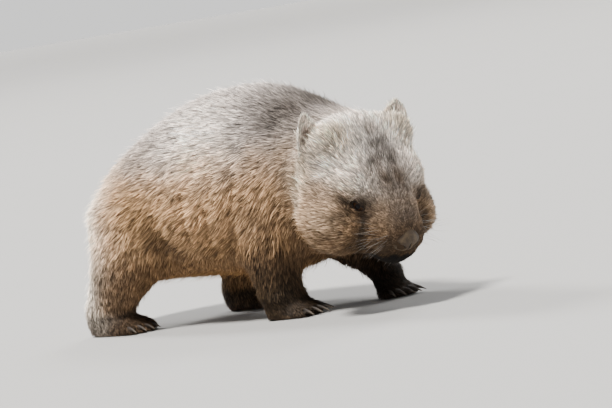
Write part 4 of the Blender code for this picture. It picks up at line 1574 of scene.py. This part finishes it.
@dataclass(frozen=True)
class BareFinish:
    """Bare skin: a colour that drifts, over pebbles with fine wrinkles between them, with painted shade in its
    hollows.
    """

    name: str
    colour: Triple
    deep: Triple
    pebble: float = 0.0012
    depth: float = 0.0003
    roughness: float = 0.42

    def material(self) -> bpy.types.Material:
        """Build the finish."""
        graph = Graph(self.name)
        where = graph.node("ShaderNodeTexCoord").outputs["Object"]
        pebble = graph.number("ShaderNodeTexVoronoi", "Distance", {"feature": "F1"},
                              {"Vector": where, "Scale": 1.0 / self.pebble})
        drift = graph.noise(0.009, 3.0)
        body = graph.mixed(graph.ramped(drift, 0.35, 0.68), self.deep, self.colour)
        painted_hollow_shade = graph.carried(Mark.HOLLOW)
        # Painted shade: darker in the nostrils and the groove that the mesh marks.
        body = graph.scaled(body, (1.12 - 0.35 * pebble) * (1.0 - 0.97 * graph.ramped(painted_hollow_shade, 0.02, 0.40)))
        height = 1.0 - pebble + 0.4 * graph.noise(0.0005, 2.0)
        rough = self.roughness + 0.18 * drift
        return graph.surface({"Base Color": body, "Roughness": rough, "Specular IOR Level": 0.25,
                              "Normal": graph.bumped(height, self.depth)})


@dataclass(frozen=True)
class HornFinish:
    """Claw horn: dark, with fine lines along it, worn paler towards the point."""

    dark: Triple = (0.030, 0.024, 0.020)
    pale: Triple = (0.120, 0.098, 0.076)

    def material(self) -> bpy.types.Material:
        """Build the finish."""
        graph = Graph("wombat_claw_horn")
        along = graph.carried(Mark.ALONG)
        lines = graph.noise(0.0011, 3.0)
        worn = graph.ramped(along + 0.5 * (lines - 0.5), 0.45, 1.05)
        body = graph.mixed(worn, self.dark, self.pale)
        return graph.surface({"Base Color": body, "Roughness": 0.48 + 0.2 * lines, "Specular IOR Level": 0.25,
                              "Normal": graph.bumped(lines, 0.0002)})


@dataclass(frozen=True)
class WhiskerFinish:
    """Stiff bristles, dark at the root and paler towards the point."""

    colour: Triple = (0.34, 0.30, 0.26)

    def material(self) -> bpy.types.Material:
        """Build the finish."""
        graph = Graph("wombat_whisker")
        shade = 0.45 + 0.55 * graph.ramped(graph.carried(Mark.ALONG), 0.0, 0.3)
        return graph.surface({"Base Color": graph.scaled(self.colour, shade), "Roughness": 0.35})


@dataclass(frozen=True)
class FloorFinish:
    """Plain pale studio floor."""

    colour: Triple = (0.365, 0.365, 0.362)

    def material(self) -> bpy.types.Material:
        """Build the finish."""
        graph = Graph("studio_floor")
        body = graph.scaled(self.colour, 0.985 + 0.03 * graph.noise(0.6, 2.0))
        return graph.surface({"Base Color": body, "Roughness": 0.9, "Specular IOR Level": 0.1})


@dataclass(frozen=True)
class WallFinish:
    """A far wall that glows about as brightly as the lit floor, so that the horizon hardly shows."""

    colour: Triple = FloorFinish.colour
    glow: float = 2.82

    def material(self) -> bpy.types.Material:
        """Build the finish."""
        graph = Graph("studio_wall")
        shade = graph.scaled(self.colour, 0.985 + 0.03 * graph.noise(6.0, 2.0))
        return graph.surface({"Base Color": (0.0, 0.0, 0.0, 1.0), "Emission Color": shade,
                              "Emission Strength": self.glow})


@dataclass
class EyeSet:
    """Both eyeballs and their lids."""

    rings: int = 28
    turns: int = 72
    lid_steps: int = 16
    white_share: float = 0.985
    cornea_share: float = 0.07
    cornea_angle: float = 0.62
    front_share: float = 1.055
    lid_reach: float = 0.42
    lid_thickness: float = 0.0009

    def ball(self, eye: Eye) -> tuple[Array, Array, Array]:
        """An eyeball whose front swells into a cornea.

        With w the angle from the outward axis, the radius is the eye's radius times
        0.985 + 0.07 * exp(-(w / 0.62)^4).

        Args:
            eye: The eye's place and sizes.

        Returns:
            Points, faces, and how far each point is from the middle of the pupil.
        """
        polar = np.linspace(0.0, math.pi, self.rings)
        polar, turn = np.meshgrid(polar[1:-1], round_turns(self.turns), indexing="ij")
        swell = np.exp(-((polar / self.cornea_angle) ** 4))
        radius = eye.radius * (self.white_share + self.cornea_share * swell)
        local = np.stack([radius * np.sin(polar) * np.cos(turn), radius * np.sin(polar) * np.sin(turn),
                          radius * np.cos(polar)], axis=-1).reshape(-1, 3)
        poles = np.array(((0.0, 0.0, eye.radius * self.front_share), (0.0, 0.0, -eye.radius * self.white_share)))
        points = np.concatenate([local, poles]) @ eye.axes() + eye.centre()
        faces = capped(grid_faces(self.rings - 2, self.turns), self.rings - 2, self.turns)
        way = np.concatenate([polar.ravel() / (0.5 * math.pi), (0.0, 2.0)])
        return points, faces, way

    def lid(self, eye: Eye) -> tuple[Array, Array]:
        """The lids of one eye, as a ring from the edge of its opening out under the skin.

        The edge is an almond, |cos|^0.85 by |sin|^1.15 of the half sizes. From there the ring widens to
        the lids' reach over the lids' own height, rolls out by its thickness and ends under the skin.

        Args:
            eye: The eye's place and sizes.

        Returns:
            Points and faces.
        """
        turn = round_turns(self.turns)
        way = np.linspace(0.0, 1.0, self.lid_steps)[:, None]
        edge_in = eye.half_length * np.sign(np.cos(turn)) * np.abs(np.cos(turn)) ** 0.85
        edge_across = eye.half_height * np.sign(np.sin(turn)) * np.abs(np.sin(turn)) ** 1.15
        inner = edge_in * (1.0 + self.lid_reach * way)
        across = edge_across * (1.0 + 1.5 * self.lid_reach * way)
        roll = self.lid_thickness * np.sin(math.pi * np.minimum(way * 1.7, 1.0)) ** 0.7
        upper = ramp(-0.3, 0.7, -eye.side * np.sin(turn))
        out = eye.lid_height(inner, across) - 0.0004 + roll * (1.0 + 1.1 * upper) - 0.0016 * way**2
        under = np.stack([edge_in * 1.03, edge_across * 1.03, eye.lid_height(edge_in, edge_across) - 0.0030])
        points = np.stack([inner, across, out], axis=-1)
        points = np.concatenate([under.T[None], points]).reshape(-1, 3)
        points = points @ eye.axes() + eye.centre()
        return points, grid_faces(self.lid_steps + 1, self.turns)

    def build(self, eye_finish: EyeFinish, lid_finish: BareFinish) -> None:
        """Show both eyes and both pairs of lids."""
        eye_material, lid_material = eye_finish.material(), lid_finish.material()
        for word, eye in EYES.items():
            points, faces, way = self.ball(eye)
            mesh = mesh_of(f"{word}_eyeball", points, faces)
            mark(mesh, Mark.WAY, way)
            closed(mesh)
            put(f"{word}_eyeball", mesh, eye_material, (f"{word}_eye",))
            points, faces = self.lid(eye)
            mesh = mesh_of(f"{word}_eyelids", points, faces)
            facing(mesh, eye.centre())
            put(f"{word}_eyelids", mesh, lid_material)


def facing(mesh: bpy.types.Mesh, middle: Array) -> None:
    """Turn an open mesh over where its faces look towards a point behind it."""
    centres = np.empty(len(mesh.polygons) * 3)
    normals = np.empty(len(mesh.polygons) * 3)
    mesh.polygons.foreach_get("center", centres)
    mesh.polygons.foreach_get("normal", normals)
    out = (centres.reshape(-1, 3) - middle) * normals.reshape(-1, 3)
    if out.sum() < 0.0:
        mesh.flip_normals()


@dataclass
class ClawSet:
    """Eighteen claws, each a tapering oval tube along a path that bends down with the square of the way."""

    turns: int = 20
    rings: int = 18
    root_radius: float = 0.0037
    root_height: float = 0.0105
    root_ahead: float = 0.0005
    reach: float = 0.99
    drop: float = 0.0066
    narrowing: float = 0.86
    narrowing_power: float = 1.25
    across_share: float = 0.72
    point_ahead: float = 0.0004

    def claw(self, name: str) -> tuple[Array, Array, Array]:
        """One claw, from the far ends of its node.

        The radius is the root's times (1 - 0.86 way^1.25), and the section is narrower across than upright.

        Args:
            name: The claw's node.

        Returns:
            Points, faces, and the way from root to point.
        """
        cloud = node_points((name,))
        foot = name.split("_claw_")[0].replace("hind", "hind_foot").replace("fore", "forefoot")
        body = node_points((foot,))
        heel = np.array((body[:, 0].min(), body[:, 1].mean()))
        away = np.linalg.norm(cloud[:, :2] - heel, axis=1)
        root, tip = cloud[np.argmin(away)], cloud[np.argmax(away)]
        ahead = unit(np.array((tip[0] - root[0], tip[1] - root[1], 0.0)))
        length = np.linalg.norm((tip - root)[:2])
        root = root + ahead * self.root_ahead
        root[2] = self.root_height
        across = np.array((-ahead[1], ahead[0], 0.0))
        way = np.linspace(0.0, 1.0, self.rings)[:, None, None]
        turn = round_turns(self.turns)[None, :, None]
        radius = self.root_radius * (1.0 - self.narrowing * way**self.narrowing_power)
        middle = root + ahead * (length * self.reach * way) - np.array((0.0, 0.0, self.drop)) * way**2
        round_part = across * np.cos(turn) * self.across_share + np.array((0.0, 0.0, 1.0)) * np.sin(turn)
        points = middle + radius * round_part
        poles = np.array((root, middle[-1, 0] + ahead * self.point_ahead))
        faces = capped(grid_faces(self.rings, self.turns), self.rings, self.turns)
        along = np.concatenate([np.repeat(way.ravel(), self.turns), (0.0, 1.0)])
        return np.concatenate([points.reshape(-1, 3), poles]), faces, along

    def build(self, finish: HornFinish) -> None:
        """Show every claw in the place of its node."""
        material = finish.material()
        for name in sorted(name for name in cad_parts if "_claw_" in name):
            points, faces, along = self.claw(name)
            mesh = mesh_of(f"{name}_horn", points, faces)
            mark(mesh, Mark.ALONG, along)
            closed(mesh)
            put(f"{name}_horn", mesh, material, (name,))


@dataclass(frozen=True)
class WhiskerRow:
    """A row of whiskers on both sides: its two ends on the head, which way they grow and how long."""

    start: Triple
    end: Triple
    direction: Triple
    length: float
    number: int


WHISKER_ROWS = (
    WhiskerRow((0.096, 0.032, -0.018), (0.072, 0.046, -0.014), (0.40, 1.00, 0.20), 0.060, 5),
    WhiskerRow((0.098, 0.035, -0.026), (0.072, 0.050, -0.024), (0.32, 1.00, 0.00), 0.064, 6),
    WhiskerRow((0.098, 0.036, -0.034), (0.074, 0.050, -0.034), (0.25, 1.00, -0.30), 0.056, 6),
    WhiskerRow((0.094, 0.034, -0.043), (0.078, 0.044, -0.043), (0.20, 0.90, -0.60), 0.042, 4),
    WhiskerRow((0.096, 0.012, -0.066), (0.074, 0.034, -0.064), (0.25, 0.45, -1.00), 0.016, 5),
    WhiskerRow((0.052, 0.082, -0.024), (0.044, 0.090, -0.026), (0.35, 1.00, 0.10), 0.020, 3),
    WhiskerRow((0.030, 0.060, 0.024), (0.042, 0.050, 0.022), (0.30, 0.60, 0.80), 0.018, 3),
)


@dataclass
class WhiskerSet:
    """Whiskers: three-sided tubes that thin to a point and bend back and down with the square of the way.

    Those of the right side are worn shorter.
    """

    skin: Skin
    seed: int = 31
    rings: int = 7
    radius: float = 0.00020
    thinning: float = 0.92
    bend: float = 0.20
    sag: Triple = (-0.8, 0.0, -0.6)
    scatter: float = 0.0016
    unruliness: float = 0.16
    fan: float = 0.45
    length_spread: Span = (0.7, 0.5)
    bury: float = 0.0008
    right_share: float = 0.62

    def build(self, finish: WhiskerFinish) -> None:
        """Show all whiskers as one piece."""
        chance = np.random.default_rng(self.seed)
        roots, lines, lengths = [], [], []
        for row, side in itertools.product(WHISKER_ROWS, SIDES.values()):
            way = np.linspace(0.0, 1.0, row.number)[:, None]
            place = np.array(row.start) * (1.0 - way) + np.array(row.end) * way
            place = place + self.scatter * chance.standard_normal(place.shape)
            line = np.array(row.direction) + self.unruliness * chance.standard_normal(place.shape)
            line[:, 0] -= self.fan * way[:, 0]
            mirror = np.array((1.0, side, 1.0))
            roots.append(HEAD.out(place * mirror))
            lines.append(unit(HEAD.turn(line * mirror)))
            worn = self.right_share if side < 0.0 else 1.0
            spread = self.length_spread[0] + self.length_spread[1] * chance.random(row.number)
            lengths.append(worn * row.length * spread)
        roots, lines, lengths = np.concatenate(roots), np.concatenate(lines), np.concatenate(lengths)
        nearest = np.argmin(np.linalg.norm(roots[:, None] - self.skin.points[None], axis=2), axis=1)
        roots = self.skin.points[nearest] - self.bury * self.skin.normals[nearest]
        way = np.linspace(0.0, 1.0, self.rings)[None, :, None]
        sag = HEAD.turn(np.array(self.sag))
        middle = roots[:, None] + lines[:, None] * (lengths[:, None, None] * way)
        middle = middle + sag * (self.bend * lengths[:, None, None] * way**2)
        first = unit(np.cross(lines, np.array((0.0, 0.0, 1.0))))[:, None, None]
        second = np.cross(first, lines[:, None, None])
        turn = np.array((0.0, 2.0, 4.0))[None, None, :, None] * math.pi / 3.0
        thick = self.radius * (1.0 - self.thinning * way[..., None])
        points = middle[:, :, None] + thick * (first * np.cos(turn) + second * np.sin(turn))
        ring = grid_faces(self.rings, 3)
        faces = (np.arange(len(roots))[:, None, None] * self.rings * 3 + ring[None]).reshape(-1, 4)
        mesh = mesh_of("whiskers", points.reshape(-1, 3), faces)
        mark(mesh, Mark.ALONG, np.tile(np.repeat(way.ravel(), 3), len(roots)))
        put("whiskers", mesh, finish.material())


def outwards(azimuth_deg: float, elevation_deg: float) -> Vector:
    """The way out from the model at two angles, 0 and 0 being level on its right side."""
    azimuth, elevation = math.radians(azimuth_deg), math.radians(elevation_deg)
    return Vector((math.sin(azimuth) * math.cos(elevation), -math.cos(azimuth) * math.cos(elevation),
                   math.sin(elevation)))


@dataclass(frozen=True)
class Studio:
    """Camera at the photograph's angle, a pale floor, a far wall and soft lights."""

    azimuth_deg: float = 37.0
    elevation_deg: float = 4.0
    roll_deg: float = 9.5
    distance: float = 5.0
    target: Triple = (0.04618, 0.05377, 0.1500)
    lens: float = 202.06
    floor_radius: float = 40.0
    rim_steps: int = 64
    wall_share: float = 0.95
    wall_below: float = 1.0
    wall_above: float = 16.0
    sky: Triple = (0.93, 0.95, 1.0)
    sky_strength: float = 0.32

    def camera(self) -> None:
        """Set the camera: its picture is turned so that the floor rises to the right."""
        azimuth, roll = math.radians(self.azimuth_deg), math.radians(self.roll_deg)
        back = outwards(self.azimuth_deg, self.elevation_deg)
        right = Vector((math.cos(azimuth), math.sin(azimuth), 0.0))
        up = back.cross(right)
        turned_right = right * math.cos(roll) - up * math.sin(roll)
        turned_up = right * math.sin(roll) + up * math.cos(roll)
        data = bpy.data.cameras.new("camera")
        data.lens, data.sensor_width = self.lens, 36.0
        data.clip_start, data.clip_end = 0.1, 200.0
        camera = bpy.data.objects.new("camera", data)
        camera.matrix_world = Matrix((turned_right, turned_up, back)).transposed().to_4x4()
        camera.location = Vector(self.target) + back * self.distance
        bpy.context.scene.collection.objects.link(camera)
        bpy.context.scene.camera = camera

    def rim(self) -> Array:
        """Points round the floor's rim."""
        turn = round_turns(self.rim_steps)
        return np.stack([np.cos(turn), np.sin(turn), np.zeros(self.rim_steps)], axis=1) * self.floor_radius

    def floor(self, finish: FloorFinish) -> None:
        """A wide round floor at the soles' level."""
        column = np.arange(self.rim_steps)
        middle = np.full(self.rim_steps, self.rim_steps)
        faces = np.stack([middle, column, (column + 1) % self.rim_steps], axis=1)
        mesh = mesh_of("studio_floor", np.concatenate([self.rim(), np.zeros((1, 3))]), faces)
        mesh.materials.append(finish.material())
        floor = bpy.data.objects.new("studio_floor", mesh)
        bpy.context.scene.collection.objects.link(floor)

    def light(self, name: str, azimuth_deg: float, elevation_deg: float, spread_deg: float, power: float,
              tint: Triple) -> None:
        """One wide soft light from far off, so that the whole floor is lit alike.

        Args:
            name: Name of the light.
            azimuth_deg: The side it comes from, counted as the camera's.
            elevation_deg: How high it stands.
            spread_deg: How wide it looks from the floor.
            power: Its strength.
            tint: Its colour.
        """
        data = bpy.data.lights.new(name, "SUN")
        data.angle, data.energy, data.color = math.radians(spread_deg), power, tint
        out = outwards(azimuth_deg, elevation_deg)
        lamp = bpy.data.objects.new(name, data)
        lamp.location = out * 3.0
        lamp.rotation_mode = "QUATERNION"
        lamp.rotation_quaternion = (-out).to_track_quat("-Z", "Y")
        bpy.context.scene.collection.objects.link(lamp)

    def wall(self, finish: WallFinish) -> None:
        """A pale round wall far off, just inside the floor's rim."""
        rim = self.rim() * self.wall_share
        points = np.concatenate([rim - (0.0, 0.0, self.wall_below), rim + (0.0, 0.0, self.wall_above)])
        mesh = mesh_of("studio_wall", points, grid_faces(2, self.rim_steps)[:, ::-1])
        mesh.materials.append(finish.material())
        wall = bpy.data.objects.new("studio_wall", mesh)
        bpy.context.scene.collection.objects.link(wall)

    def build(self) -> None:
        """Set up camera, floor, sky, wall and lights."""
        self.camera()
        self.floor(FloorFinish())
        world = bpy.data.worlds.new("studio")
        world.use_nodes = True
        sky = world.node_tree.nodes["Background"].inputs
        sky[0].default_value = (*self.sky, 1.0)
        sky[1].default_value = self.sky_strength
        bpy.context.scene.world = world
        self.wall(WallFinish())
        self.light("key", -10.0, 64.0, 12.0, 8.2, (1.0, 0.960, 0.905))
        self.light("left_rim", -105.0, 32.0, 14.0, 4.6, (1.0, 0.98, 0.95))
        self.light("back_rim", 195.0, 42.0, 18.0, 1.8, (1.0, 0.98, 0.95))


def show_skin(skin: Skin, plan: BodyPlan, markings: Markings) -> None:
    """Show the skin, in the coat's colours with their painted light and shade, in the place of every node of
    flesh but the nose pad.
    """
    mesh = mesh_of("skin", skin.points, skin.quads)
    paint(mesh, markings.colours(skin.points, plan.shares(skin.points)))
    flesh = tuple(name for name in FLESH if name != "nose_pad")
    put("skin", mesh, SkinFinish().material(), flesh + EARS)
    log.info("skin: %d squares", len(skin.quads))


def main() -> None:
    """Build the wombat and its studio."""
    logging.basicConfig(level=logging.INFO, format="%(message)s")
    Studio().build()
    plan = BodyPlan()
    skin = Skin(plan)
    skin.build()
    markings = Markings(plan)
    show_skin(skin, plan, markings)
    nose_finish = BareFinish("wombat_nose_skin", (0.098, 0.068, 0.038), (0.050, 0.034, 0.022))
    put("nose_pad_skin", PAD.build(), nose_finish.material(), ("nose_pad",))
    log.info("nose pad done")
    lid_finish = BareFinish("wombat_lid_skin", (0.022, 0.016, 0.013), (0.010, 0.008, 0.007), 0.0009, 0.0002)
    EyeSet().build(EyeFinish(), lid_finish)
    log.info("eyes done")
    ClawSet().build(HornFinish())
    log.info("claws done")
    WhiskerSet(skin).build(WhiskerFinish())
    log.info("whiskers done")
    coat = Coat(skin, plan, markings, CoatLie())
    coat.build(CoatFinish().material())
    log.info("coat: %d triangles in all", sum(coat.made.values()))


if __name__ == "__main__":
    main()
